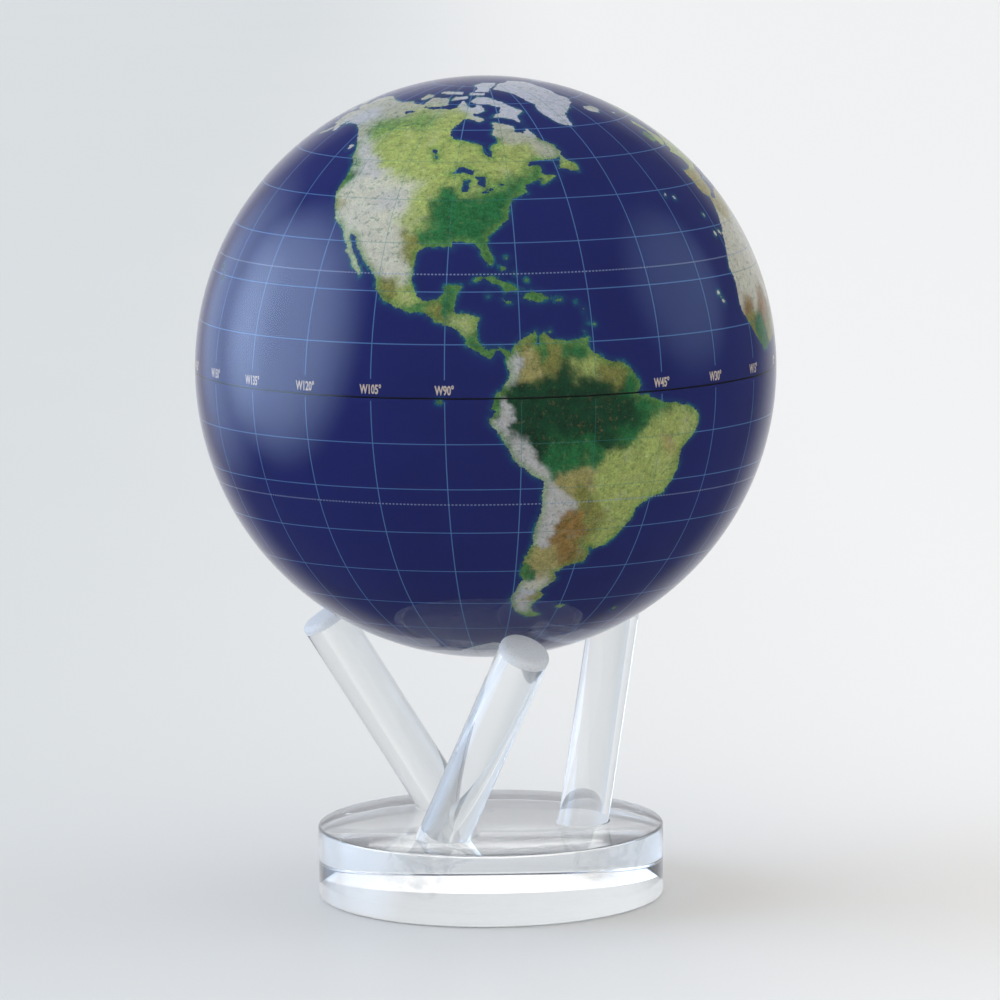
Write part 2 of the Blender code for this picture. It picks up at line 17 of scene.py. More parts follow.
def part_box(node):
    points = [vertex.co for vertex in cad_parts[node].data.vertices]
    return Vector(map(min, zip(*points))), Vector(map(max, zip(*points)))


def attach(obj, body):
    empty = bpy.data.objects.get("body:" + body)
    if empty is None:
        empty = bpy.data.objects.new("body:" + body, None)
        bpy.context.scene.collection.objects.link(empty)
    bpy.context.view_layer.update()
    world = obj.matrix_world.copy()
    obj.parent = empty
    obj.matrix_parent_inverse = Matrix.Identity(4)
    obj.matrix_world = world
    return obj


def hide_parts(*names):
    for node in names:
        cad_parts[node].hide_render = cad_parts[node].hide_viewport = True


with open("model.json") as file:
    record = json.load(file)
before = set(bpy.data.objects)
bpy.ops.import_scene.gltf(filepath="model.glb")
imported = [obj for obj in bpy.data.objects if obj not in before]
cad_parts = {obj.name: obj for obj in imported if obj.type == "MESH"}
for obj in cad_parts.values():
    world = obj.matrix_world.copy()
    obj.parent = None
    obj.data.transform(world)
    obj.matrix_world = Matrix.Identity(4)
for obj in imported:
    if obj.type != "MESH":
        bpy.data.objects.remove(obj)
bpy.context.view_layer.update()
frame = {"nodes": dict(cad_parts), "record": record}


# Places and sizes, read from the frame


def node_points(name):
    return np.array([vertex.co for vertex in frame["nodes"][name].data.vertices], float)


def radii(name, centre):
    """Smallest and largest distance of a node's corners from a point."""
    distances = np.linalg.norm(node_points(name) - np.array(centre), axis=1)
    return float(distances.min()), float(distances.max())


shell_low, shell_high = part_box("outer_shell_upper")
BALL_RADIUS = (shell_high.x - shell_low.x) / 2
BALL_CENTRE = Vector((0, 0, shell_high.z - BALL_RADIUS))
SHELL_INNER = radii("outer_shell_upper", BALL_CENTRE)[0]
FLUID_INNER, FLUID_OUTER = radii("float_fluid", BALL_CENTRE)
MAP_INNER, MAP_RADIUS = radii("map_shell_north", BALL_CENTRE)
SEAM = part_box("map_shell_north")[0].z - BALL_CENTRE.z
PLUG_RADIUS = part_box("fill_plug")[1].x
PORT_RADIUS = 0.002  # opening in the fluid over the plug's nib

base_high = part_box("stand_base")[1]
BASE_RADIUS = base_high.x
BASE_THICKNESS = base_high.z
GAP = 0.0003  # between neighbouring pieces of the model

MAP_LONGITUDE_AT_X = 8.64  # longitude of the map's point on +X


# Shader nodes


class Graph:
    """Adds nodes to a material or world. An input takes a number, a colour or a socket."""

    def __init__(self, owner):
        owner.use_nodes = True
        self.tree = owner.node_tree
        self.tree.nodes.clear()

    def add(self, kind, inputs=None, **settings):
        node = self.tree.nodes.new("ShaderNode" + kind)
        for key, value in settings.items():
            setattr(node, key, value)
        for key, value in (inputs or {}).items():
            self.feed(node.inputs[key], value)
        return node

    def feed(self, socket, value):
        if isinstance(value, bpy.types.NodeSocket):
            self.tree.links.new(value, socket)
        elif socket.type == "RGBA" and len(value) == 3:
            socket.default_value = (*value, 1.0)
        else:
            socket.default_value = value

    def math(self, operation, *values):
        node = self.add("Math", dict(enumerate(values)), operation=operation)
        return node.outputs[0]

    def vector(self, operation, *values):
        node = self.add("VectorMath", dict(enumerate(values)), operation=operation)
        return node.outputs["Value" if operation in ("DOT_PRODUCT", "LENGTH") else "Vector"]

    def mix(self, factor, first, second, blend="MIX"):
        node = self.add("Mix", data_type="RGBA", blend_type=blend)
        self.feed(node.inputs["Factor"], factor)
        self.feed(node.inputs[6], first)
        self.feed(node.inputs[7], second)
        return node.outputs[2]

    def step(self, value, low, high, smooth=True):
        """0 below low and 1 above high, or the other way round when low is above high."""
        node = self.add("MapRange", {"Value": value, "From Min": low, "From Max": high})
        node.interpolation_type = "SMOOTHSTEP" if smooth else "LINEAR"
        return node.outputs[0]

    def span(self, value, low, high):
        """A 0 to 1 value spread over another range."""
        node = self.add("MapRange", {"Value": value, "To Min": low, "To Max": high})
        return node.outputs[0]

    def noise(self, vector, scale, detail=2.0, roughness=0.5):
        inputs = {"Vector": vector, "Scale": scale, "Detail": detail, "Roughness": roughness}
        return self.add("TexNoise", inputs).outputs[0]

    def bump(self, height, strength, distance):
        inputs = {"Height": height, "Strength": strength, "Distance": distance}
        return self.add("Bump", inputs).outputs[0]

    def object_place(self):
        return self.add("TexCoord").outputs["Object"]

    def finish(self, shader):
        self.add("OutputMaterial", {"Surface": shader})


def new_graph(name):
    material = bpy.data.materials.new(name)
    return material, Graph(material)


# Materials


ACRYLIC_INDEX = 1.49


def acrylic(name, tint, wave, clarity=1.0):
    """Clear polished plastic. Its face is slowly wavy, by a wave's height in metres."""
    material, graph = new_graph(name)
    place = graph.object_place()
    slow = graph.noise(place, 45.0, 1.0)
    height = graph.math("MULTIPLY", slow, wave)
    inputs = {"Base Color": tint, "Roughness": 0.0, "IOR": ACRYLIC_INDEX}
    shader = graph.add("BsdfPrincipled", {**inputs, "Transmission Weight": clarity})
    graph.feed(shader.inputs["Normal"], graph.bump(height, 1.0, 1.0))
    graph.finish(shader.outputs[0])
    return material


def matched_face(name, haze):
    """A face between two clear plastics or a plastic and a liquid of the same index."""
    material, graph = new_graph(name)
    place = graph.object_place()
    patches = graph.noise(place, 400.0, 3.0)
    amount = graph.math("MULTIPLY", graph.step(patches, 0.45, 0.75), haze)
    clear = graph.add("BsdfTransparent", {"Color": (1.0, 1.0, 1.0)}).outputs[0]
    film = graph.add("BsdfDiffuse", {"Color": (0.80, 0.83, 0.84)}).outputs[0]
    mixed = graph.add("MixShader", {0: amount, 1: clear, 2: film})
    graph.finish(mixed.outputs[0])
    return material


def ground_acrylic():
    """The rods' ground ends: frosted and finely grained, and lit through from the rod."""
    material, graph = new_graph("ground_acrylic")
    place = graph.object_place()
    grains = graph.add("TexVoronoi", {"Vector": place, "Scale": 1900.0}).outputs["Distance"]
    fine = graph.noise(place, 4200.0, 2.0)
    height = graph.math("ADD", grains, fine)
    # Paler and greyer grain by grain: partly the frosted grain's own tone, partly painted sparkle,
    # glints of light painted on the ground end
    tone = graph.mix(graph.step(height, 0.45, 1.10), (0.86, 0.89, 0.90), (1.0, 1.0, 1.0))
    inputs = {"Base Color": tone, "IOR": ACRYLIC_INDEX, "Transmission Weight": 0.25}
    shader = graph.add("BsdfPrincipled", inputs)
    graph.feed(shader.inputs["Roughness"], graph.span(grains, 0.25, 0.55))
    graph.feed(shader.inputs["Normal"], graph.bump(height, 0.4, 0.0002))
    through = graph.add("BsdfTranslucent", {"Color": tone}).outputs[0]
    mixed = graph.add("MixShader", {0: 0.5, 1: shader.outputs[0], 2: through})
    graph.finish(mixed.outputs[0])
    return material


def moulded(name, colour, roughness, scale=1500.0, metallic=0.0, contrast=0.25, depth=0.00002):
    """A plain moulded, cast or drawn surface: mottled tone, uneven gloss and a fine grain."""
    material, graph = new_graph(name)
    place = graph.object_place()
    broad = graph.noise(place, scale / 12, 3.0)
    fine = graph.noise(place, scale, 2.0)
    dark = tuple(channel * (1 - contrast) for channel in colour)
    light = tuple(min(1.0, channel * (1 + contrast)) for channel in colour)
    tone = graph.mix(graph.span(broad, 0.2, 0.8), dark, light)
    shader = graph.add("BsdfPrincipled", {"Base Color": tone, "Metallic": metallic})
    gloss = graph.span(fine, roughness * 0.8, min(1.0, roughness * 1.25))
    graph.feed(shader.inputs["Roughness"], gloss)
    graph.feed(shader.inputs["Normal"], graph.bump(fine, 0.5, depth))
    graph.finish(shader.outputs[0])
    return material


def stripes(graph, value, period, width):
    """1 on lines of a given width that repeat along value."""
    near = graph.math("PINGPONG", value, period / 2)
    return graph.step(near, width / 2, width / 4)


def solar_cell_material():
    """Dark blue silicon with silver fingers and two busbars."""
    material, graph = new_graph("solar_cell_silicon")
    place = graph.add("SeparateXYZ", {0: graph.object_place()})
    fingers = stripes(graph, place.outputs["Z"], 0.0016, 0.00016)
    busbars = stripes(graph, place.outputs["Z"], 0.0125, 0.0009)
    metal = graph.math("MAXIMUM", fingers, busbars)
    crystals = graph.add("TexVoronoi", {"Vector": graph.object_place(), "Scale": 420.0})
    grey = graph.add("SeparateColor", {0: crystals.outputs["Color"]}).outputs[0]
    silicon = graph.mix(grey, (0.010, 0.018, 0.075), (0.022, 0.045, 0.16))
    colour = graph.mix(metal, silicon, (0.60, 0.61, 0.63))
    shader = graph.add("BsdfPrincipled", {"Base Color": colour, "Roughness": 0.18})
    graph.feed(shader.inputs["Metallic"], graph.math("MULTIPLY", metal, 0.9))
    graph.finish(shader.outputs[0])
    return material


def board_material():
    """Green solder mask over copper tracks that show as a paler pattern."""
    material, graph = new_graph("board_solder_mask")
    place = graph.object_place()
    cells = graph.add("TexVoronoi", {"Vector": place, "Scale": 330.0}, distance="CHEBYCHEV")
    tracks = stripes(graph, cells.outputs["Distance"], 0.28, 0.09)
    colour = graph.mix(tracks, (0.012, 0.110, 0.040), (0.030, 0.200, 0.075))
    pads = graph.step(cells.outputs["Distance"], 0.10, 0.07)
    colour = graph.mix(pads, colour, (0.62, 0.60, 0.52))
    shader = graph.add("BsdfPrincipled", {"Base Color": colour, "Roughness": 0.32})
    height = graph.math("ADD", tracks, pads)
    graph.feed(shader.inputs["Normal"], graph.bump(height, 0.4, 0.00004))
    graph.finish(shader.outputs[0])
    return material


def coil_material():
    """Enamelled copper wire, wound in level turns round the vertical axis. Each turn is painted
    darker in the grooves where it meets the next and lighter on its crown: painted shade and
    painted light.
    """
    material, graph = new_graph("coil_winding")
    place = graph.add("SeparateXYZ", {0: graph.object_place()})
    turns = graph.math("PINGPONG", place.outputs["Z"], 0.00009)
    crown_shape_and_painted_shade = graph.step(turns, 0.0, 0.00009)
    # Painted shade and light: dark in the grooves between turns, bright on each turn's crown
    colour = graph.mix(crown_shape_and_painted_shade, (0.16, 0.045, 0.015), (0.62, 0.22, 0.09))
    shader = graph.add("BsdfPrincipled", {"Base Color": colour, "Roughness": 0.30})
    shader.inputs["Metallic"].default_value = 0.85
    graph.feed(shader.inputs["Normal"], graph.bump(crown_shape_and_painted_shade, 0.7, 0.00008))
    graph.finish(shader.outputs[0])
    return material


def jewel_material():
    material, graph = new_graph("jewel_ruby")
    cloud = graph.noise(graph.object_place(), 900.0, 2.0)
    colour = graph.mix(cloud, (0.52, 0.012, 0.05), (0.80, 0.05, 0.12))
    inputs = {"Base Color": colour, "Roughness": 0.06, "IOR": 1.77, "Transmission Weight": 0.6}
    graph.finish(graph.add("BsdfPrincipled", inputs).outputs[0])
    return material


# The map's outlines, as corners of longitude and latitude


AMERICAS_NORTH = (
    (-168, 65.5), (-166, 64.5), (-161, 64.4), (-161.5, 63.4), (-164.6, 63.1), (-166, 61.6),
    (-164.5, 60.3), (-162, 59.9), (-161.8, 58.6), (-158.5, 58.8), (-157.4, 58), (-160.5, 56),
    (-164.8, 54.6), (-160, 55.2), (-156.5, 56.9), (-153.5, 59.2), (-151.8, 61), (-149.8, 61.1),
    (-151.8, 59.3), (-148, 60.2), (-144.5, 60.1), (-139.8, 59.6), (-136.5, 58.2), (-133.5, 56.2),
    (-130.3, 54.5), (-128.3, 52.5), (-127.3, 51), (-124, 49.4), (-122.6, 48.2), (-124.7, 48.3),
    (-124, 46.2), (-124.5, 42.8), (-124.3, 40.4), (-122.5, 37.6), (-120.6, 34.6), (-118.4, 33.8),
    (-117.1, 32.5), (-115.9, 30.3), (-114.2, 28.6), (-115.1, 27.8), (-112.9, 26.4), (-112.1, 24.8),
    (-109.9, 22.9), (-109.5, 23.6), (-111, 25.7), (-112.6, 28), (-114.5, 30.6), (-114.6, 31.7),
    (-113, 31.1), (-112.1, 29), (-110.4, 27.4), (-109.1, 25.7), (-107.3, 24.2), (-105.6, 22.4),
    (-105.5, 20.4), (-103.5, 18.3), (-100.5, 17), (-97.5, 15.9), (-94.8, 16.2), (-92.3, 14.5),
    (-89.8, 13.5), (-87.6, 12.9), (-85.8, 11.1), (-85.8, 9.9), (-83.6, 8.6), (-82.9, 8.1),
    (-80.9, 7.3), (-80.1, 8.2), (-79.5, 8.9), (-78.3, 8.2), (-77.9, 7.2), (-76.6, 7.6),
    (-77.3, 8.7), (-79.5, 9.6), (-81.5, 8.9), (-83, 10), (-83.7, 11.5), (-83.4, 14), (-83.1, 15),
    (-85.9, 15.9), (-88.3, 15.8), (-88.1, 17.9), (-87.5, 19.8), (-86.8, 21.4), (-90.3, 21.2),
    (-90.7, 19.5), (-91.8, 18.5), (-94.5, 18.2), (-96.2, 19.3), (-97.7, 22), (-97.3, 25.5),
    (-97.2, 27.8), (-94.8, 29.3), (-91.5, 29.4), (-89.3, 29), (-89.2, 30.3), (-86.5, 30.4),
    (-84.3, 30), (-82.8, 28.6), (-82.6, 27.3), (-81.1, 25.1), (-80.2, 25.4), (-80.1, 26.9),
    (-81.2, 29.5), (-81.2, 31.4), (-79.3, 33.1), (-77.9, 33.9), (-75.6, 35.3), (-76.1, 37),
    (-75.2, 38.5), (-74.1, 40.5), (-72, 41.1), (-70.1, 41.7), (-70.8, 42.7), (-69.9, 43.8),
    (-67.1, 44.7), (-65, 45.4), (-66.1, 44), (-65.5, 43.5), (-63.3, 44.6), (-60, 45.9),
    (-61.5, 46), (-63.8, 45.9), (-64.9, 47), (-64.4, 48.8), (-67.5, 48.7), (-70.2, 47.2),
    (-67.5, 49.6), (-64.5, 50.3), (-60, 50.2), (-57, 51.4), (-55.7, 52.3), (-57.5, 54.6),
    (-61.4, 56.6), (-64.5, 60.3), (-66.5, 58.8), (-69.5, 59), (-69.6, 61), (-73.5, 62.2),
    (-77.8, 62.5), (-77.4, 60), (-78.4, 58.7), (-76.6, 57.2), (-76.8, 55.5), (-79.5, 54.6),
    (-79, 52.8), (-79.5, 51.3), (-82.2, 53), (-82.3, 55.1), (-87.5, 56), (-92.6, 57),
    (-94.6, 58.9), (-94.5, 60.6), (-91.5, 62.8), (-90.5, 63.8), (-87, 64.3), (-86.5, 66),
    (-83.5, 66.3), (-81.5, 67.3), (-81.3, 69.2), (-85, 69.7), (-87.2, 68.2), (-90, 68.9),
    (-92.5, 71.3), (-94.8, 71.9), (-96, 68.6), (-98.5, 67.9), (-104, 68), (-108.5, 67.6),
    (-114.5, 67.9), (-115.5, 69.2), (-120.5, 69.6), (-125, 69.8), (-128, 70.4), (-134.5, 69.5),
    (-141, 69.7), (-150, 70.6), (-156.6, 71.3), (-162, 70.2), (-166.3, 68.6), (-163.8, 67.2),
    (-162, 66.4), (-166, 66.2),
)

AMERICAS_SOUTH = (
    (-77.9, 7.2), (-76.8, 8.4), (-75.5, 10.6), (-74.5, 11.1), (-71.8, 12.3), (-71.6, 11),
    (-71.9, 9.6), (-71.1, 9.4), (-71.2, 11), (-70, 12.1), (-68.2, 10.6), (-64.7, 10.2),
    (-62, 10.7), (-60.8, 8.6), (-57.5, 6.4), (-54, 5.9), (-51.7, 4.2), (-50, 1.4),
    (-50.8, -0.4), (-48.4, -0.7), (-44.5, -2.6), (-41.5, -2.9), (-38.5, -3.8), (-35.4, -5.2),
    (-34.8, -7.5), (-35.4, -9.5), (-37.3, -11.5), (-39, -13.3), (-39.1, -17.6), (-40.2, -20.3),
    (-41.9, -22.8), (-45, -23.6), (-48.2, -25.7), (-48.7, -28.4), (-50.7, -31), (-53.5, -34),
    (-56, -34.9), (-58.2, -34.1), (-57.1, -36.3), (-57.8, -38.1), (-62.1, -39.1), (-65, -41),
    (-63.7, -42.5), (-65.4, -44.5), (-67.5, -46.2), (-65.9, -47.8), (-69, -50.8), (-68.4, -52.6),
    (-65.2, -54.7), (-68.5, -55.5), (-72.5, -53.8), (-74.8, -51.5), (-75.5, -48), (-74.5, -45.5),
    (-73, -42.5), (-73.6, -40), (-73.4, -37.2), (-71.6, -33), (-71.5, -29.5), (-70.4, -25),
    (-70.3, -18.4), (-72.5, -17), (-76.3, -14), (-77.2, -12), (-79, -8.3), (-81.2, -5.8),
    (-81.3, -4.4), (-79.9, -2.8), (-80.9, -2.2), (-80.1, 0.5), (-78.8, 1.6), (-77.2, 4),
)

AFRICA = (
    (-5.9, 35.8), (-9.5, 31), (-13, 27.8), (-17, 21), (-16.3, 19), (-17.5, 14.7), (-16.8, 12.3),
    (-13.3, 8.7), (-11.4, 6.7), (-7.6, 4.4), (-3, 5.1), (1.2, 6), (4.3, 6.3), (6.1, 4.3),
    (8.6, 4.7), (9.7, 3.8), (9.4, 0.5), (8.9, -1), (11.8, -4.6), (13.3, -8.8), (12.5, -13.5),
    (11.8, -17.5), (14.5, -22.8), (15.2, -26.8), (18.3, -32.5), (18.5, -34.3), (20, -34.8),
    (25.7, -34), (30.5, -31), (32.8, -27), (35.5, -24), (34.8, -19.8), (38.5, -17),
    (40.6, -14.8), (40.4, -10.5), (39.3, -7), (39.2, -4.7), (41.6, -1.7), (46, 2.5),
    (49.3, 7.5), (51.3, 11.8), (44.5, 10.5), (43.2, 11.6), (41.5, 13.8), (39.3, 15.8),
    (37.2, 19), (37, 21.2), (35.6, 23.8), (33.8, 27.3), (32.5, 29.9), (32.3, 31.2), (29.5, 31),
    (25, 31.7), (20, 32.4), (19.6, 30.6), (16, 31.2), (11, 33.5), (10.5, 36.8), (3, 36.9),
    (-2, 35.2),
)

EURASIA = (
    (-5.6, 36), (-9, 37), (-9.4, 38.8), (-9.2, 43.2), (-1.8, 43.4), (-1.2, 46), (-4.7, 48.4),
    (-1.8, 48.7), (-1.6, 49.7), (1.6, 50.9), (4.5, 52.2), (8.6, 53.9), (8.2, 57), (10.5, 57.6),
    (10.8, 54.3), (14.2, 54), (19.5, 54.4), (21.1, 57.2), (24.2, 57.2), (23.5, 59.3),
    (30.2, 59.8), (25, 60.3), (21.4, 61), (25.4, 65), (22, 65.8), (17.3, 61.5), (18.8, 59.8),
    (16.5, 57), (14.3, 55.5), (11.2, 58.9), (8, 58.1), (5.3, 59.2), (5.2, 62), (12, 65.2),
    (15, 68.4), (20, 70), (26, 71.1), (31, 70.3), (41, 67), (33, 66.7), (35, 64.3), (40, 64.6),
    (44, 66), (44, 68.5), (54, 68.4), (60.5, 69), (68, 68.5), (67, 71.5), (72.5, 72.8),
    (73, 68), (80, 72.5), (87, 75), (104, 77.7), (113, 76), (113, 73.7), (127, 73), (140, 72.7),
    (160, 70), (170, 70), (180, 69), (190.3, 66.1), (182, 65), (179.5, 62.5), (170, 60),
    (163.3, 58.2), (162.8, 56.2), (156.8, 51), (155.6, 56.5), (163, 61.3), (156.5, 61.5),
    (142, 59.2), (135.2, 54.8), (141.2, 53.2), (140.4, 48.5), (135.3, 43.8), (131.5, 43),
    (129.5, 41), (127.5, 39.5), (129.4, 36.5), (128.8, 35), (126.4, 34.5), (126.6, 37.6),
    (124.6, 39.8), (121.3, 38.8), (121.9, 40.6), (117.8, 38.8), (119.2, 37.2), (122.5, 37.2),
    (119.3, 35), (121.8, 31.9), (121.9, 29), (118.5, 24.7), (114, 22.3), (110.4, 21),
    (108, 21.6), (105.8, 19), (108.8, 15.3), (109.2, 11.7), (106.7, 9.9), (104.9, 8.7),
    (104.8, 10.4), (102.3, 12.2), (100.9, 13.4), (99.4, 10.5), (100.3, 8.5), (103.4, 4.5),
    (104.1, 1.4), (101.3, 2.9), (98.4, 8), (98.7, 11), (97.6, 16), (94.4, 16), (94, 19.2),
    (92, 21.5), (90.5, 22.6), (87, 21.2), (82.3, 16.6), (80.2, 15), (80, 12), (79.8, 10.3),
    (77.6, 8.1), (76.2, 10.5), (73.5, 16), (72.7, 20.5), (70.5, 20.9), (69, 22.3), (67.2, 24.7),
    (61.6, 25.1), (57.3, 26.6), (51.2, 27.9), (48.8, 30.3), (48.2, 29.5), (50.2, 26.6),
    (51.5, 25.8), (52, 24), (56.3, 26.1), (59.8, 22.5), (55.2, 17.5), (48, 14), (43.5, 12.7),
    (42.7, 16.5), (39, 21.3), (35, 28), (34.9, 29.4), (34.3, 27.8), (32.6, 29.9), (34.3, 31.4),
    (36, 36.6), (30.6, 36.7), (27.4, 37), (26.3, 39.6), (29, 41), (35, 42), (41.5, 41.6),
    (37.3, 44.7), (39.2, 47.1), (36.5, 45.3), (33.5, 44.5), (31.5, 46.6), (28.6, 43.8),
    (28, 42), (26.2, 40.8), (23.8, 40.2), (24, 38), (22.7, 36.5), (21.2, 37.5), (19.4, 41),
    (13.7, 45), (12.4, 44.8), (14, 42.6), (18.5, 40.2), (16.6, 39.8), (16.1, 38), (15.6, 40),
    (12.3, 41.7), (10.2, 44), (6.5, 43.2), (3.2, 43), (-0.4, 39.6), (-0.7, 37.6), (-2.2, 36.7),
)

ISLANDS = (
    ((-73, 78.2), (-60, 76), (-57.5, 74.5), (-54.5, 71), (-51, 69.3), (-53.5, 67), (-51.5, 63.8),
     (-48, 61), (-43.8, 59.9), (-42.5, 62.5), (-40, 65), (-34, 66.5), (-26, 68.4), (-22, 70.4),
     (-24, 72.5), (-20, 74.6), (-19, 77.5), (-12, 81.4), (-22, 82.4), (-33, 83.6), (-50, 82.4),
     (-62, 81.5), (-66, 79.8)),
    ((-24.3, 65.5), (-22.5, 64), (-18.7, 63.4), (-14.6, 64.5), (-14.8, 66), (-18, 66.1),
     (-22, 66.4)),
    ((-65.5, 62), (-68.5, 63.5), (-72, 64.5), (-78, 64.5), (-73.5, 66.5), (-73, 68.5), (-78, 70),
     (-85, 70), (-89.5, 71.2), (-86, 73.6), (-80.5, 73.7), (-76, 72.5), (-70, 70.8), (-67, 69),
     (-61.8, 66.5), (-66, 65)),
    ((-117, 69.8), (-113, 68.6), (-105, 68.8), (-101.5, 69.6), (-105.5, 72.8), (-111, 72.8),
     (-117.5, 73)),
    ((-125.5, 72), (-123, 71.2), (-118, 73.2), (-119, 74.2), (-124.5, 74.3)),
    ((-77, 76.3), (-90, 76.5), (-87, 79), (-92, 81), (-82, 83), (-64, 82.8), (-66, 80.8),
     (-76, 78.6)),
    ((-80, 74.6), (-92, 74.8), (-92, 76.2), (-84, 75.8), (-79.5, 75.5)),
    ((-117, 75.3), (-106, 74.8), (-98, 75), (-98, 76.5), (-106, 76.4), (-116, 76.4)),
    ((-102, 71.8), (-96.5, 72.2), (-91, 72.9), (-93, 74), (-101, 73.7)),
    ((-87, 65.4), (-80.3, 63.9), (-83.5, 62.8), (-87.2, 63.6)),
    ((-59.3, 47.7), (-56.6, 51.5), (-55.5, 50), (-53, 48.5), (-53.1, 46.7), (-55.9, 46.9)),
    ((-128.2, 50.7), (-125.3, 50.1), (-123.4, 48.5), (-125, 48.8)),
    ((-84.9, 21.9), (-83, 23.1), (-80.5, 23.1), (-77, 21.6), (-74.2, 20.2), (-77.6, 19.8),
     (-78.5, 21.1), (-82, 22.3)),
    ((-74.4, 18.4), (-73, 19.9), (-70, 19.7), (-68.4, 18.6), (-71, 17.8)),
    ((-78.3, 18.5), (-76.3, 18.3), (-76.4, 17.8), (-77.8, 17.8)),
    ((-67.2, 18.5), (-65.6, 18.4), (-65.8, 17.9), (-67.2, 17.9)),
    ((-61.9, 10.8), (-60.9, 10.8), (-61, 10), (-61.9, 10)),
    ((-61.2, -51.3), (-57.8, -51.4), (-59, -52.3), (-61.2, -52.1)),
    ((-5.7, 50.1), (1.4, 51.1), (1.7, 52.7), (-0.2, 53.7), (-2, 57.6), (-3.1, 58.6), (-6, 57.5),
     (-3, 54.8), (-5.2, 51.8)),
    ((-6, 52.2), (-10, 51.8), (-9.9, 54.2), (-7.3, 55.3), (-5.6, 54.5)),
    ((49.3, -12.1), (50.4, -15.6), (47.1, -24.9), (44, -25.2), (43.4, -21.5), (44.3, -16.3),
     (47.9, -13.6)),
    ((130, 31.3), (129.8, 33), (132.5, 35.5), (136.9, 37.4), (139.5, 38.7), (140.2, 41.3),
     (141.9, 39.7), (140.8, 35.8), (138.8, 34.7), (135.8, 33.6), (132, 33.4)),
    ((140, 42), (143.3, 42), (145.4, 43.3), (141.8, 45.4)),
    ((142, 46.2), (143.5, 49), (143.2, 52.5), (142.5, 54.3), (141.8, 51)),
    ((120.2, 23), (121.5, 25.2), (121, 22)),
    ((79.8, 8), (80.2, 9.7), (81.8, 7.3), (80.6, 6)),
    ((120.4, 16), (120.7, 18.6), (122.3, 18.4), (121.8, 15.5), (124, 12.8), (120.6, 14)),
    ((122, 7), (123.5, 8.6), (125.6, 9.7), (126.5, 7.5), (125.4, 5.7)),
    ((109, 1.6), (111.5, 2.5), (113, 3.2), (116.8, 7), (119.2, 5.2), (117.7, 2), (116.2, -3.8),
     (114.5, -4), (110.2, -2.9), (109, 0.3)),
    ((95.4, 5.6), (98.5, 4), (103.4, 0.8), (106, -3), (105.8, -5.8), (102.3, -4), (98.7, 1.7)),
    ((105.3, -6.8), (108.5, -6.6), (112.6, -6.9), (114.4, -7.8), (114.4, -8.7), (108.5, -7.8)),
    ((119.5, -5.5), (118.8, -2.8), (120, 0.8), (125, 1.5), (123, 0.3), (120.6, -0.5), (123.3, -1),
     (121.6, -2), (122.6, -5.2), (120.6, -3)),
    ((131, -0.8), (134, -0.8), (135, -3.3), (137.8, -1.5), (144.5, -3.8), (147.8, -6),
     (150.8, -10.4), (147, -9.5), (143.8, -8.5), (141, -9.1), (138, -8.2), (137.8, -5.2),
     (133, -4), (132.3, -2.8)),
    ((113.7, -22.5), (114.1, -26), (115.7, -31.8), (115, -34.2), (118, -35), (123.5, -33.9),
     (129, -31.6), (134, -32.8), (135.7, -34.9), (138, -33), (138.3, -35.5), (140.4, -38),
     (143.6, -38.8), (146.4, -39), (150, -37.4), (151.3, -33.6), (153.5, -28.6), (153, -25),
     (149, -20.8), (146.2, -18.9), (145.4, -15), (143.5, -14), (142.5, -10.9), (141.6, -13.5),
     (140.8, -17.5), (136, -15.6), (136.8, -12.2), (132.6, -11.5), (130.2, -12.9),
     (128.2, -14.9), (125, -14.3), (122.2, -17.8), (118.8, -20.3)),
    ((144.8, -40.8), (148.2, -40.9), (147.9, -43.2), (146, -43.5)),
    ((172.8, -34.5), (175.8, -36.8), (178.4, -37.7), (177, -39.6), (175.2, -41.6), (173.8, -39.3),
     (174.7, -37)),
    ((172.7, -40.6), (174.2, -41.7), (172.8, -43.8), (170.7, -45.9), (168.4, -46.6), (166.5, -45.9),
     (170.5, -43)),
    ((52, 71), (57.5, 70.7), (57, 73.3), (68.5, 76.8), (60, 76), (54, 73.2)),
    ((11, 79), (16, 76.8), (21, 78.5), (26, 80), (16, 80)),
    ((95, 79), (104, 78.5), (102, 80), (95, 81)),
)

LAKES = (
    ((-92, 46.7), (-88.5, 48.7), (-84.8, 47.6), (-85, 46.6), (-88, 46.8)),
    ((-87.8, 41.8), (-86.4, 42), (-85.3, 45.5), (-87.2, 45.3), (-88, 43.5)),
    ((-84.4, 46), (-80.9, 45.8), (-81.7, 43.2), (-83.3, 43.8), (-83.3, 45)),
    ((-83.3, 41.6), (-79, 42.9), (-80.5, 41.9)),
    ((-79.7, 43.2), (-76.4, 44.1), (-76.4, 43.4)),
    ((-97, 50.5), (-98.8, 53.6), (-97.6, 53.6), (-96.3, 51)),
    ((-116.5, 61.1), (-112, 62), (-109.5, 62.6), (-114, 61)),
    ((-124, 65.8), (-120, 66.8), (-118, 66.3), (-121.5, 65.2)),
    ((31.7, 0.3), (34.1, 0.2), (33.5, -2.4), (31.8, -2.4)),
    ((47.5, 45.2), (51.5, 46.8), (53, 45.2), (51, 44.5), (52.8, 41.5), (53.9, 37), (49.5, 37.5),
     (49, 40.5)),
    ((103.9, 51.5), (109.7, 55.7), (109.2, 53.5), (106, 51.8)),
)

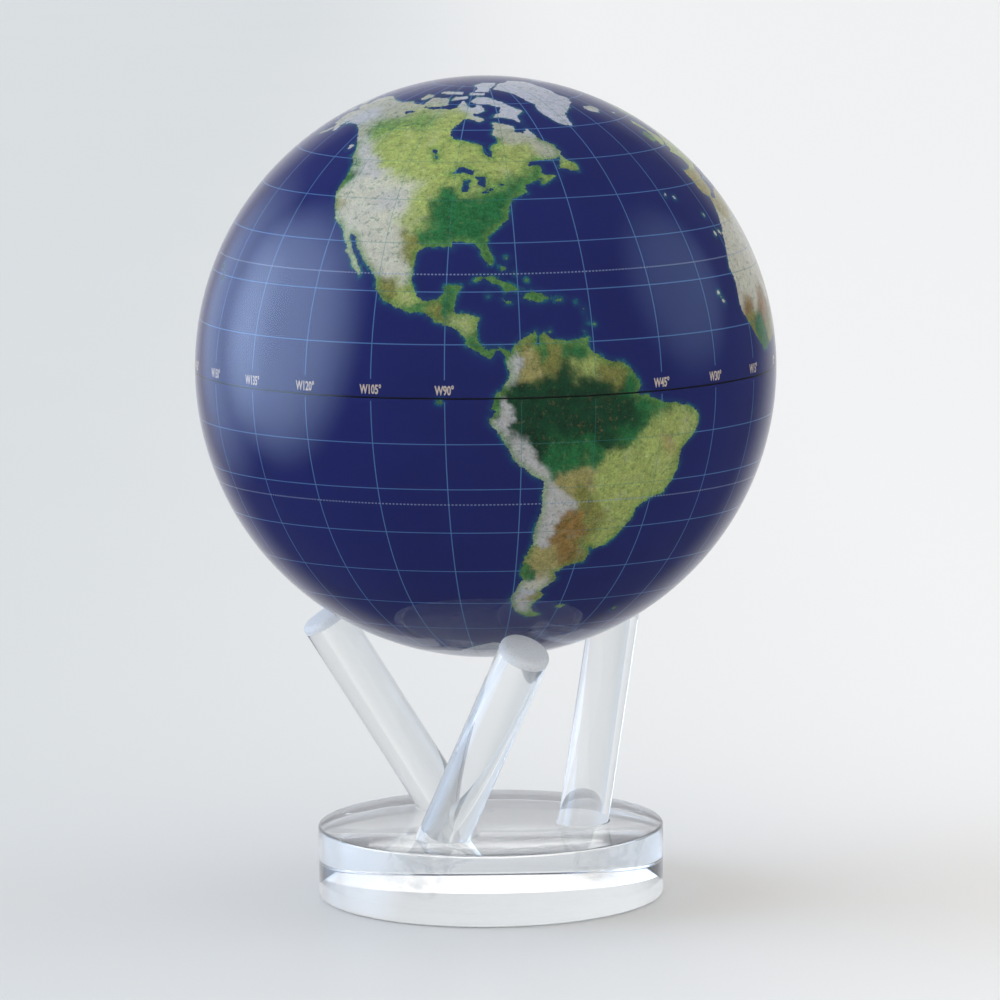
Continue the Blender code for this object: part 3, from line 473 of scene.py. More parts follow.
# Islands too small for an outline: longitude, latitude and radius in degrees
ISLETS = (
    (-91, -0.6, 0.5), (-155.6, 19.6, 0.7), (-157.9, 21.4, 0.4), (-77.9, 24.5, 0.6),
    (-77.1, 26.6, 0.4), (-75.5, 23.6, 0.35), (-73, 22.2, 0.3), (-61.4, 16.2, 0.3),
    (-61, 14.6, 0.28), (-61.3, 15.4, 0.25), (-62.8, 17.4, 0.2), (-61.1, 13.6, 0.22),
    (-59.6, 13.2, 0.2), (-61.7, 12.1, 0.2), (-68.9, 12.2, 0.25), (-81.2, 19.3, 0.2),
    (-16.5, 28.3, 0.6), (-14, 28.3, 0.5), (-25.5, 37.8, 0.4), (-28.5, 38.6, 0.4),
    (-23.6, 15.1, 0.5), (-24.8, 16.8, 0.4), (-17, 32.7, 0.3), (-14.4, -7.9, 0.2),
    (-5.7, -15.9, 0.2), (-37, -54.4, 0.7), (-132, 53.2, 0.8), (-153.5, 57.5, 0.9),
    (-170.5, 63.4, 0.8), (-176.5, 51.8, 0.4), (9, 42.2, 0.6), (9, 40.1, 0.9), (14, 37.5, 0.9),
    (33.2, 35, 0.6), (24.8, 35.2, 0.5), (3, 39.6, 0.4), (109.8, 19.2, 0.9), (119, 9.8, 0.6),
    (123.8, 10.6, 0.9), (125, 12, 0.7), (120, -9, 0.6), (124.5, -9.2, 0.9), (118, -8.5, 0.9),
    (128.5, -3.1, 0.8), (128, 0.7, 0.8), (151, -5.6, 1.0), (160, -9.4, 0.8), (165.3, -21.3, 0.9),
    (178, -17.8, 0.7), (-172, -13.6, 0.4), (-149.5, -17.6, 0.3), (57.6, -20.3, 0.4),
    (55.5, -21.1, 0.4), (69.5, -49.3, 0.8), (-7, 62.1, 0.4), (132.5, 33.8, 0.9),
)

# Latitude of the southern ice's edge at every 20 degrees of longitude from -180
ICE_EDGE = (
    -78, -77, -75, -73.5, -73, -67, -72, -75, -71, -70,
    -69.5, -69, -67.5, -67, -66, -66.5, -68, -71, -78,
)


# The map's ground, as tints and the places where they lie


TINTS = {
    "ice": (0.78, 0.80, 0.90),
    "tundra": (0.66, 0.66, 0.52),
    "taiga": (0.20, 0.42, 0.10),
    "plains": (0.56, 0.66, 0.20),
    "forest": (0.030, 0.22, 0.070),
    "jungle": (0.008, 0.068, 0.028),
    "desert": (0.88, 0.86, 0.72),
    "steppe": (0.55, 0.48, 0.18),
    "savanna": (0.34, 0.34, 0.09),
    "rust": (0.42, 0.24, 0.07),
    "rock": (0.78, 0.76, 0.75),
}

# Where each tint lies: longitude, latitude and radius, all in degrees
GROUND = {
    "tundra": (
        (-155, 65, 9), (-162, 60, 5), (-135, 66, 6), (-134, 59, 4), (-61, 54, 4), (-72, 58, 4),
        (-76, 61, 3), (-110, 71, 8), (-18, 65, 3), (68, 67, 5), (95, 72, 7), (140, 68, 7),
        (160, 66, 8), (178, 66, 6),
    ),
    "ice": (
        (-150, 61, 5), (-142, 62, 5), (-95, 73, 7), (-80, 80, 9), (-72, 67, 5), (-40, 72, 16),
        (-46, 63, 6), (-25, 70, 5), (-60, 79, 7), (-72, -46, 1.5), (-73.5, -48.5, 1.2), (80, 32, 3),
        (86, 28, 2), (55, 73, 5), (18, 79, 5),
    ),
    "rock": (
        (-127, 54, 4), (-120, 50, 3), (-116, 46, 3), (-108, 39, 4), (-77.6, 4.5, 1.4),
        (-70, -51.5, 2), (-70, -32, 2), (-69.5, -28, 2.5), (-68.5, -24, 3), (-68, -20, 2.5),
        (-70, -16.5, 2.5), (-73, -14.5, 2), (-75.5, -12, 1.8), (-77.5, -9, 1.5), (-79.3, -6, 1.4),
        (-78.8, -2, 1.2), (-66, -24, 2), (10, 46.5, 1.5), (75, 40, 3), (88, 33, 6), (96, 34, 4),
        (170, -44, 3),
    ),
    "taiga": (
        (-125, 60, 5), (-110, 63, 5), (-69, -54, 1.5), (10, 61, 4), (17, 66, 4), (26, 63, 5),
        (45, 57, 7), (62, 60, 8), (90, 62, 9), (110, 58, 8), (125, 64, 8), (135, 58, 6),
        (159, 56, 4),
    ),
    "forest": (
        (-123, 45, 2.5), (-96, 16.8, 1.5), (-89.5, 19, 3), (-84, 10.5, 3), (-91, 34.5, 5),
        (-92, 39.5, 2.5), (-84, 34, 6), (-81.5, 28, 2), (-79, 40, 5), (-72, 44, 4), (-66, 48, 3),
        (-79, 22, 3), (-71, 19, 2), (-66, 18, 2), (-71.5, 9, 1.5), (-63.5, 7.5, 2), (-52, 2, 2.5),
        (-52, -9, 3), (-66, -12, 4), (-60, -13, 3), (-48, -4, 3), (-72.5, -40, 1.5), (-80.3, -1, 1),
        (-7, 7, 3), (10, 7, 4), (31, 1, 3), (24, -9, 5), (47, -19, 4), (-8, 53, 3), (14, 42, 3),
        (22, 43, 4), (132, 49, 5), (128, 37, 3), (138, 36, 4), (143, 43, 3), (110, 30, 5),
        (112, 25, 5), (103, 27, 4), (102, 20, 4), (96, 21, 4), (81, 7.5, 2), (110, -7.5, 3),
        (122, 14, 5), (143, -15, 4), (152, -28, 3), (146, -37, 3), (147, -42, 3), (175, -38, 4),
    ),
    "desert": (
        (-120, 40, 4), (-114, 41, 5), (-113, 35, 5), (-106, 43, 5), (-106, 33, 5), (-112, 29, 4),
        (-104, 27, 4), (-102, 23, 2.5), (-68, -44, 3), (-8, 27, 6), (3, 25, 8), (15, 25, 8),
        (28, 25, 8), (-12, 19, 6), (20, 18, 6), (33, 15, 4), (17, -22, 4), (45, 34, 5), (46, 24, 7),
        (52, 20, 5), (55, 33, 6), (65, 30, 5), (60, 41, 6), (90, 41, 6), (82, 39, 4), (103, 41, 4),
        (72, 27, 3),
    ),
    "steppe": (
        (-122, 39, 2), (-73.5, 6, 1.5), (-42, -11, 3), (-60, -18, 3), (-67, -36, 2), (-66, -40, 3),
        (-69, -48, 3), (-71, -36, 1.5), (-64.5, -19.5, 2), (-59, -51.8, 3), (-5, 33, 3), (3, 35, 3),
        (8, 13, 4), (24, 12, 4), (45, 7, 4), (39, 3, 4), (22, -22, 4), (24, -29, 4), (-4, 40, 4),
        (45, 48, 5), (34, 39, 4), (44, 15, 2), (68, 48, 6), (103, 46, 7), (112, 38, 4), (77, 14, 4),
        (128, -29, 5), (141, -22, 4), (138, -33, 3),
    ),
    "plains": (
        (-99, 19.5, 2.5), (-86, 14, 2.5), (-103, 48, 5), (-111, 53, 5), (-99, 41, 3),
        (-98.5, 35, 3.5), (-93, 45, 4), (-86.5, 41.5, 2), (-84, 44, 3), (-78, 47, 5), (-90, 50, 6),
        (-104, 56, 6), (-116, 58, 5), (-100, 61, 5), (-97, 65, 4), (-112, 67, 4), (-72, 52, 5),
        (-56, 49, 3), (-64, 45, 2), (-61, 4.5, 3), (-45, -7, 3), (-40, -6, 3), (-37.5, -9, 3),
        (-46, -13, 3), (-51, -14, 3), (-55, -17, 3), (-48, -19, 3), (-43, -18, 3), (-40, -15, 2),
        (-50, -23, 3), (-46, -22.5, 2), (-52, -27, 3), (-56, -22, 3), (-55, -31, 3), (30, 30, 2),
        (30, -28, 3), (0, 46, 4), (-2, 53, 4), (10, 50, 5), (22, 50, 5), (35, 55, 7), (75, 55, 6),
        (115, 50, 5), (118, 35, 4), (125, 44, 4), (91, 24, 3), (77, 27, 3),
    ),
    "savanna": (
        (-104, 20, 2), (-92, 16, 2), (-99, 29, 2.5), (-74, 9, 2), (-67, 9, 3), (-69, 6, 3),
        (-57, 4, 3), (-61, -23, 3), (-58, -28, 3), (-60, -34, 3), (-12, 9.5, 3), (2, 9, 4),
        (22, 8, 4), (32, 8, 4), (36, -4, 4), (14, -8, 4), (34, -12, 5), (17, -14, 4), (29, -19, 4),
        (104, 15, 3), (78, 21, 4), (117, -33, 3), (133, -14, 4), (147, -22, 4), (146, -32, 4),
    ),
    "jungle": (
        (-64, 1, 5), (-70, -1, 5), (-58, -3, 5), (-52, -4, 4), (-72, -8, 4), (-64, -7, 5),
        (-57, -9, 4), (16, 1, 6), (24, -1, 6), (107, 15, 3), (102, 3, 4), (114, 0, 6), (102, 0, 5),
        (121, -2, 3), (140, -5, 7),
    ),
    "rust": (
        (-62, -29, 2.5), (-63, -36, 3), (-65, -33, 2.5), (-65.5, -27, 1.5), (-14, 14, 3),
        (-4, 13.5, 3), (38, 10, 3), (45, -22, 3), (116, -25, 4), (122, -22, 5), (134, -24, 6),
    ),
}

TINT_SHARPNESS = 0.40  # how fast a place's hold on the tint falls off
DRIFT = 3.2  # of the tints' borders, in degrees
DRIFT_SEED = 42  # without one, the noise vectors follow the clock and differ in every run
DRIFT_DENSITY = 9.0  # of the drift's noise, per radius of the globe
DRIFT_OCTAVES = 5
DRIFT_FINENESS = 2.1  # how much finer each octave is than the last
COAST_GREEN = 1.6  # width of the greener land by the American coasts, in degrees


def around_longitude(longitude, middle):
    """The same meridian, within half a turn of another one."""
    return (longitude - middle + 180) % 360 - 180 + middle


def outline_depth(outline, longitude, latitude, far):
    """Signed distance in degrees to an outline, positive inside. Past far it's only -far."""
    corners = np.array(outline, float)
    low, high = corners.min(0), corners.max(0)
    shifted = around_longitude(longitude, (low[0] + high[0]) / 2)
    squeeze = np.cos(np.radians(latitude))
    margin = far / np.maximum(squeeze, 0.15)
    near = (shifted > low[0] - margin) & (shifted < high[0] + margin)
    near &= (latitude > low[1] - far) & (latitude < high[1] + far)
    depth = np.full(longitude.shape, -far)
    x, y, narrow = shifted[near], latitude[near], squeeze[near]
    nearest = np.full(x.shape, far * far)
    inside = np.zeros(x.shape, bool)
    for (x1, y1), (x2, y2) in zip(corners, np.roll(corners, -1, axis=0)):
        run, rise = (x2 - x1) * narrow, y2 - y1
        across, up = (x - x1) * narrow, y - y1
        share = np.clip((across * run + up * rise) / (run * run + rise * rise), 0, 1)
        nearest = np.minimum(nearest, (across - share * run) ** 2 + (up - share * rise) ** 2)
        crosses = (y1 > y) != (y2 > y)
        if rise:
            inside ^= crosses & (x < x1 + (y - y1) * (x2 - x1) / rise)
    distance = np.sqrt(nearest)
    depth[near] = np.where(inside, distance, -distance)
    return depth


def land_depth(longitude, latitude, far=4.0):
    """Signed distance in degrees to the nearest coast, positive on land."""
    depth = np.full(longitude.shape, -far)
    for outline in (AMERICAS_NORTH, AMERICAS_SOUTH, AFRICA, EURASIA, *ISLANDS):
        depth = np.maximum(depth, outline_depth(outline, longitude, latitude, far))
    for outline in LAKES:
        depth = np.minimum(depth, -outline_depth(outline, longitude, latitude, far))
    for place_x, place_y, radius in ISLETS:
        across = around_longitude(longitude - place_x, 0) * np.cos(np.radians(latitude))
        depth = np.maximum(depth, radius - np.hypot(across, latitude - place_y))
    edge = np.interp(longitude, np.linspace(-180, 180, len(ICE_EDGE)), ICE_EDGE)
    return np.maximum(depth, edge - latitude)


def drifted(points, longitude, latitude):
    """Longitudes and latitudes moved about a little, so that the tints' borders meander."""
    noise.seed_set(DRIFT_SEED)
    drift = [
        noise.turbulence_vector(place, DRIFT_OCTAVES, False, frequency_scale=DRIFT_FINENESS)
        for place in points * DRIFT_DENSITY
    ]
    drift = np.array(drift)
    drift -= drift.mean(0)
    return longitude + drift[:, 0] * DRIFT, latitude + drift[:, 1] * DRIFT


def ground_tint(longitude, latitude, depth):
    """The land's colour, blended from the nearest places of the list and greener by the sea."""
    total = np.zeros((len(longitude), 3))
    weights = np.full(len(longitude), 1e-9)
    for tint, places in GROUND.items():
        for place_x, place_y, radius in places:
            across = around_longitude(longitude - place_x, 0) * np.cos(np.radians(latitude))
            reach = (across**2 + (latitude - place_y) ** 2) / radius**2
            weight = np.exp(-reach / TINT_SHARPNESS)
            total += weight[:, None] * np.array(TINTS[tint])
            weights += weight
    tints = total / weights[:, None]
    tints[latitude < -62] = TINTS["ice"]
    lush = np.clip((COAST_GREEN - depth) / COAST_GREEN, 0, 1) * 0.75 * (np.abs(latitude) < 58)
    lush *= (longitude > -130) & (longitude < -30)
    return tints + (np.array(TINTS["taiga"]) - tints) * lush[:, None]


# Mesh helpers


AXIS_REACH = 1e-7  # a profile's point this close to the axis is on it


def new_piece(name, mesh, *materials):
    piece = bpy.data.objects.new(name, mesh)
    bpy.context.scene.collection.objects.link(piece)
    for material in materials:
        mesh.materials.append(material)
    return piece


def lathe(name, profile, steps):
    """A mesh turned about Z from (radius, height) points that run down the outer side."""
    angles = np.arange(steps) * 2 * math.pi / steps
    turns = [(math.cos(angle), math.sin(angle)) for angle in angles]
    bm = bmesh.new()
    rings = []
    for radius, height in profile:
        if radius < AXIS_REACH:
            rings.append([bm.verts.new((0, 0, height))])
        else:
            rings.append([bm.verts.new((radius * x, radius * y, height)) for x, y in turns])
    band = bm.faces.layers.int.new("band")
    for number, (upper, lower) in enumerate(zip(rings, rings[1:])):
        if len(upper) == 1 and len(lower) == 1:
            continue
        for i in range(steps):
            j = (i + 1) % steps
            corners = [upper[i % len(upper)], lower[i % len(lower)]]
            corners += [lower[j]] if len(lower) > 1 else []
            corners += [upper[j]] if len(upper) > 1 else []
            bm.faces.new(corners)[band] = number
    mesh = bpy.data.meshes.new(name)
    bm.to_mesh(mesh)
    bm.free()
    return mesh


def arc(radius, start, end, count, centre=(0.0, 0.0)):
    """Points of a circle from one angle to another, both in degrees."""
    angles = np.radians(np.linspace(start, end, count + 1))
    return [(centre[0] + radius * math.cos(a), centre[1] + radius * math.sin(a)) for a in angles]


def bands(mesh):
    """For each face, which stretch of the turned profile it comes from."""
    values = np.zeros(len(mesh.polygons), np.int32)
    mesh.attributes["band"].data.foreach_get("value", values)
    return values


def standing_at(start, direction):
    """The placement of a piece whose own Z axis starts at a point and runs in a direction."""
    return Matrix.Translation(start) @ direction.to_track_quat("Z", "Y").to_matrix().to_4x4()


def dress(mesh, slots):
    """Gives each face its material slot and drops the band numbers."""
    mesh.polygons.foreach_set("material_index", np.asarray(slots, np.int32))
    mesh.attributes.remove(mesh.attributes["band"])
    mesh.shade_smooth()


# The stand


SOCKET_HAZE = 0.20  # of the faces where rod and base are bonded
END_DEPTH = 0.00002  # corners this close to a rod's end are taken as on it


def rod_places():
    """Each rod's end, its direction up the rod and its length, from its CAD node."""
    places = []
    for index in (1, 2, 3):
        points = np.unique(node_points(f"stand_rod_{index}").round(6), axis=0)
        direction = np.linalg.svd(points - points.mean(0), full_matrices=False)[2][0]
        direction *= np.sign(direction[2])
        along = points @ direction
        foot = points[along < along.min() + END_DEPTH].mean(0)
        top = points[along > along.max() - END_DEPTH].mean(0)
        length = float(np.linalg.norm(top - foot))
        places.append((Vector(foot), Vector(top - foot).normalized(), length))
    return places


ROD_RADIUS = 0.005
ROD_RIM = 0.0012  # radius of the rounding at a rod's upper end
ROD_STEPS = 96
GROUND_LIP = 0.0006  # of the ground finish, down the side from the rounded rim


def make_rods(clear, bonded, ground):
    """Polished rods with ground ends. What stands in the base is bonded, so it nearly vanishes."""
    for index, (foot, direction, length) in enumerate(rod_places()):
        rim = arc(ROD_RIM, 90, 0, 10, (ROD_RADIUS - ROD_RIM, length - ROD_RIM))
        lip = length - ROD_RIM - GROUND_LIP
        profile = [(0, length), (ROD_RADIUS / 2, length), *rim, (ROD_RADIUS, lip)]
        profile += [(ROD_RADIUS, 0.0), (0, 0.0)]
        mesh = lathe(f"rod_{index + 1}", profile, ROD_STEPS)
        place = standing_at(foot, direction)
        top_of_base = place.inverted() @ Vector((0, 0, BASE_THICKNESS))
        upwards = place.to_3x3().inverted() @ Vector((0, 0, 1))
        bm = bmesh.new()
        bm.from_mesh(mesh)
        everything = bm.verts[:] + bm.edges[:] + bm.faces[:]
        bmesh.ops.bisect_plane(bm, geom=everything, plane_co=top_of_base, plane_no=upwards)
        bm.to_mesh(mesh)
        bm.free()
        heights = np.array([(place @ face.center).z for face in mesh.polygons])
        slots = np.where(bands(mesh) <= len(rim) + 1, 2, 0)
        slots[heights < BASE_THICKNESS] = 1
        dress(mesh, slots)
        mesh.set_sharp_from_angle(angle=math.radians(40))
        rod = new_piece(f"clear_rod_{index + 1}", mesh, clear, bonded, ground)
        rod.matrix_world = place
        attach(rod, "stand")
        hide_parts(f"stand_rod_{index + 1}")


BASE_BEVEL = 0.0005
BASE_STEPS = 288
SOCKET_LENGTH = 0.03  # of the cutter, which runs out through the top of the base


def make_base(clear, bonded):
    """The disc, with a socket for each rod whose bonded walls nearly vanish."""
    edge = BASE_RADIUS - BASE_BEVEL
    upper = arc(BASE_BEVEL, 90, 0, 5, (edge, BASE_THICKNESS - BASE_BEVEL))
    lower = arc(BASE_BEVEL, 0, -90, 5, (edge, BASE_BEVEL))
    profile = [(0, BASE_THICKNESS), *upper, *lower, (0, 0)]
    mesh = lathe("base", profile, BASE_STEPS)
    mesh.attributes.remove(mesh.attributes["band"])
    base = new_piece("clear_base", mesh, clear, bonded)
    for index, (foot, direction, _) in enumerate(rod_places()):
        bore = ROD_RADIUS + GAP
        outline = [(0, SOCKET_LENGTH), (bore, SOCKET_LENGTH), (bore, 0), (0, 0)]
        socket = lathe("socket", outline, ROD_STEPS)
        dress(socket, np.full(len(socket.polygons), 1))
        cutter = new_piece(f"socket_{index + 1}", socket, clear, bonded)
        cutter.matrix_world = standing_at(foot - direction * GAP, direction)
        bpy.context.view_layer.update()
        cut = base.modifiers.new("Socket", "BOOLEAN")
        cut.solver = "EXACT"
        cut.object = cutter
        depsgraph = bpy.context.evaluated_depsgraph_get()
        cut_mesh = bpy.data.meshes.new_from_object(base.evaluated_get(depsgraph))
        base.modifiers.clear()
        base.data = cut_mesh
        bpy.data.objects.remove(cutter)
    base.data.shade_smooth()
    base.data.set_sharp_from_angle(angle=math.radians(30))
    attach(base, "stand")
    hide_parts("stand_base")


# The ball


BALL_STEPS = 192
BALL_RINGS = 96


def open_sphere(name, outer, inner, opening):
    """A hollow sphere, open at the bottom. Its bands up to BALL_RINGS aren't on the inside."""
    outer_end = -math.degrees(math.acos(opening / outer))
    inner_end = -math.degrees(math.acos(opening / inner))
    outside = arc(outer, 90, outer_end, BALL_RINGS)
    inside = arc(inner, inner_end, 90, BALL_RINGS)
    outside[0], inside[-1] = (0, outer), (0, inner)
    return lathe(name, outside + inside, BALL_STEPS)


def make_ball(clear, matched):
    """The outer ball, in one piece. Its inside vanishes against the liquid."""
    mesh = open_sphere("ball", BALL_RADIUS, SHELL_INNER, PLUG_RADIUS + GAP)
    dress(mesh, np.where(bands(mesh) > BALL_RINGS, 1, 0))
    mesh.set_sharp_from_angle(angle=math.radians(40))
    ball = new_piece("clear_ball", mesh, clear, matched)
    ball.location = BALL_CENTRE
    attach(ball, "ball")
    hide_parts("outer_shell_upper", "outer_shell_lower")


def make_fluid(face):
    mesh = open_sphere("fluid", FLUID_OUTER, FLUID_INNER, PORT_RADIUS)
    dress(mesh, np.zeros(len(mesh.polygons)))
    fluid = new_piece("clear_fluid", mesh, face)
    fluid.location = BALL_CENTRE
    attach(fluid, "ball")
    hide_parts("float_fluid")


PLUG_STEPS = 72
PLUG_BEVEL = 0.0003
NIB_RADIUS = 0.0015
NIB_BEVEL = 0.0002
GROOVE_OUTER = 0.0026  # radii of the ring groove in the plug's face, on its floor
GROOVE_INNER = 0.0016
GROOVE_DEPTH = 0.0002
GROOVE_SLOPE = 0.0002  # by which the groove is wider at its lips on either side


def make_plug(clear):
    """The fill plug: a nib into the liquid, a shoulder, and a ring groove in its bulged face."""
    nib_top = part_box("fill_plug")[1].z - BALL_CENTRE.z
    shoulder = -SHELL_INNER
    face = -math.sqrt(BALL_RADIUS**2 - PLUG_RADIUS**2)
    groove = face + GROOVE_DEPTH
    profile = [
        (0, nib_top),
        (NIB_RADIUS - NIB_BEVEL, nib_top),
        (NIB_RADIUS, nib_top - NIB_BEVEL),
        (NIB_RADIUS, shoulder),
        (PLUG_RADIUS - PLUG_BEVEL, shoulder),
        (PLUG_RADIUS, shoulder - PLUG_BEVEL),
        (PLUG_RADIUS, face + PLUG_BEVEL),
        (PLUG_RADIUS - PLUG_BEVEL, face - 0.00002),
        (GROOVE_OUTER + GROOVE_SLOPE, face - 0.0001),
        (GROOVE_OUTER, groove),
        (GROOVE_INNER, groove),
        (GROOVE_INNER - GROOVE_SLOPE, -BALL_RADIUS + 0.00005),
        (0, -BALL_RADIUS),
    ]
    mesh = lathe("plug", profile, PLUG_STEPS)
    dress(mesh, np.zeros(len(mesh.polygons)))
    mesh.set_sharp_from_angle(angle=math.radians(30))
    plug = new_piece("clear_plug", mesh, clear)
    plug.location = BALL_CENTRE
    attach(plug, "ball")
    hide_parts("fill_plug")


# The printed globe


MAP_STEPS = 576
MAP_RINGS = 144
INNER_RINGS = 12
# How far north of its true place the print lies, at angles above the equator, all in degrees
PRINT_SHIFT = (
    (-90, 0), (-60, 2.3), (-40, 1.8), (-20, 1.6), (-10, 1.0), (0, 0), (10, 0.5), (26, 1.1),
    (40, 0.8), (60, 0.2), (90, 0),
)
COAST_WEAR = 0.50  # how far a coast strays from its outline, in degrees
GRID_WIDTH = 0.20  # of a printed line, in degrees
NUMBER_LOW = -0.8  # latitudes between which the meridians leave room for the numbers
NUMBER_HIGH = 3.4


def map_print():
    """Sea, land, coast fringe and graticule, from each point's depth and tint attributes."""
    material, graph = new_graph("map_print")
    place = graph.vector("NORMALIZE", graph.object_place())
    axes = graph.add("SeparateXYZ", {0: place})
    latitude = graph.add("Attribute", attribute_name="print_latitude").outputs["Fac"]
    azimuth = graph.math("ARCTAN2", axes.outputs["Y"], axes.outputs["X"])
    longitude = graph.math("ADD", graph.math("DEGREES", azimuth), MAP_LONGITUDE_AT_X + 360)
    height_squared = graph.math("POWER", axes.outputs["Z"], 2.0)
    squeeze = graph.math("SQRT", graph.math("SUBTRACT", 1.0, height_squared))

    depth = graph.add("Attribute", attribute_name="land_depth").outputs["Fac"]
    tint = graph.add("Attribute", attribute_name="ground_tint").outputs["Color"]
    broad = graph.math("SUBTRACT", graph.noise(place, 20.0, 3.0, 0.6), 0.5)
    fine = graph.math("SUBTRACT", graph.noise(place, 85.0, 5.0, 0.75), 0.5)
    stray = graph.math("ADD", broad, graph.math("MULTIPLY", fine, 1.5))
    shore = graph.math("ADD", depth, graph.math("MULTIPLY", stray, 2 * COAST_WEAR))

    # Land: the tint, mottled light and dark, with greener, paler and browner specks
    patches = graph.step(graph.noise(place, 34.0, 7.0, 0.78), 0.32, 0.68, smooth=False)
    crumbs = graph.step(graph.noise(place, 150.0, 4.0, 0.75), 0.30, 0.70, smooth=False)
    veins = graph.noise(graph.vector("ADD", place, (3.1, 1.7, 0.4)), 52.0, 6.0, 0.80)
    clouds = graph.noise(graph.vector("ADD", place, (0.3, 5.2, 2.2)), 15.0, 6.0, 0.70)
    land = tint
    red = graph.add("SeparateColor", {0: tint}).outputs[0]
    mottling = graph.span(graph.step(red, 0.35, 0.75), 1.0, 0.35)
    for layer, dark, light in ((patches, 0.50, 1.42), (crumbs, 0.62, 1.36)):
        shade = graph.span(layer, dark, light)
        grey = graph.add("CombineXYZ", {0: shade, 1: shade, 2: shade}).outputs[0]
        land = graph.mix(mottling, land, grey, "MULTIPLY")
    pale = graph.math("MULTIPLY", graph.step(clouds, 0.52, 0.66), graph.step(red, 0.05, 0.60))
    pale = graph.math("MULTIPLY", pale, 0.40)
    land = graph.mix(pale, land, graph.mix(0.55, land, (0.80, 0.80, 0.62)))
    green = graph.math("MULTIPLY", graph.step(veins, 0.53, 0.62), 0.75)
    land = graph.mix(green, land, graph.mix(0.62, land, (0.020, 0.140, 0.040)))
    brown = graph.math("MULTIPLY", graph.step(veins, 0.44, 0.37), 0.50)
    land = graph.mix(brown, land, graph.mix(0.5, land, (0.50, 0.34, 0.13)))

    # Sea: deep blue, a little paler on the shelf, with a teal fringe along the coast
    swell = graph.noise(place, 3.0, 3.0)
    sea = graph.mix(swell, (0.014, 0.021, 0.168), (0.018, 0.029, 0.205))
    shelf = graph.step(shore, -1.6, -0.2)
    sea = graph.mix(graph.math("MULTIPLY", shelf, 0.30), sea, (0.020, 0.110, 0.260))
    fringe = graph.math("MULTIPLY", graph.step(shore, -0.60, -0.15), graph.step(broad, -0.08, 0.12))
    sea = graph.mix(graph.math("MULTIPLY", fringe, 0.75), sea, (0.020, 0.230, 0.250))
    on_land = graph.step(shore, -0.05, 0.05)
    colour = graph.mix(on_land, sea, land)

    # Graticule: every 15 degrees of longitude and 10 of latitude, and the dotted tropics
    half = GRID_WIDTH / 2
    beside = graph.math("MULTIPLY", graph.math("PINGPONG", longitude, 7.5), squeeze)
    meridians = graph.step(beside, half * 1.3, half * 0.5)
    north = graph.math("ADD", latitude, 90.0)
    above = graph.math("PINGPONG", north, 5.0)
    parallels = graph.step(above, half * 1.3, half * 0.5)
    numbers = graph.math(
        "MULTIPLY",
        graph.step(latitude, NUMBER_LOW, NUMBER_LOW + 0.1),
        graph.step(latitude, NUMBER_HIGH + 0.1, NUMBER_HIGH),
    )
    meridians = graph.math("MULTIPLY", meridians, graph.math("SUBTRACT", 1.0, numbers))
    polar = graph.step(graph.math("ABSOLUTE", latitude), 81.0, 80.5)
    meridians = graph.math("MULTIPLY", meridians, polar)
    lines = graph.math("MAXIMUM", meridians, parallels)
    line_tint = graph.mix(on_land, (0.140, 0.340, 0.700), (0.050, 0.290, 0.270))
    hold = graph.mix(on_land, (0.85, 0.85, 0.85), (0.40, 0.40, 0.40))
    colour = graph.mix(graph.math("MULTIPLY", lines, hold), colour, line_tint)
    tropic = graph.math("ABSOLUTE", graph.math("SUBTRACT", graph.math("ABSOLUTE", latitude), 23.44))
    dash = graph.step(graph.math("PINGPONG", longitude, 0.4), 0.15, 0.22)
    dots = graph.math("MULTIPLY", graph.step(tropic, 0.17, 0.08), dash)
    colour = graph.mix(graph.math("MULTIPLY", dots, 0.75), colour, (0.40, 0.52, 0.75))

    relief = graph.math("MULTIPLY", graph.math("MULTIPLY", patches, on_land), 0.25)
    shader = graph.add("BsdfPrincipled", {"Base Color": colour, "Roughness": 0.55})
    shader.inputs["Specular IOR Level"].default_value = 0.12
    graph.feed(shader.inputs["Normal"], graph.bump(relief, 0.25, 0.0004))
    graph.finish(shader.outputs[0])
    return material


def print_latitude(height):
    """The printed latitude at an angle above the equator: the print isn't quite true to it."""
    angles, shifts = zip(*PRINT_SHIFT)
    return height - np.interp(height, angles, shifts)


def paint_map(mesh):
    """Writes print_latitude, land_depth and ground_tint on a sphere mesh about the origin."""
    points = np.zeros(len(mesh.vertices) * 3)
    mesh.vertices.foreach_get("co", points)
    points = points.reshape(-1, 3)
    reach = np.linalg.norm(points, axis=1)
    latitude = print_latitude(np.degrees(np.arcsin(np.clip(points[:, 2] / reach, -1, 1))))
    longitude = np.degrees(np.arctan2(points[:, 1], points[:, 0])) + MAP_LONGITUDE_AT_X
    longitude = around_longitude(longitude, 0)
    depth = land_depth(longitude, latitude)
    tints = np.zeros((len(points), 4))
    tints[:, 3] = 1
    shown = depth > -3
    moved = drifted(points[shown] / MAP_RADIUS, longitude[shown], latitude[shown])
    tints[shown, :3] = ground_tint(*moved, depth[shown])
    for name, kind, field, values in (
        ("print_latitude", "FLOAT", "value", latitude),
        ("land_depth", "FLOAT", "value", depth),
        ("ground_tint", "FLOAT_COLOR", "color", tints.ravel()),
    ):
        mesh.attributes.new(name, kind, "POINT").data.foreach_set(field, values)


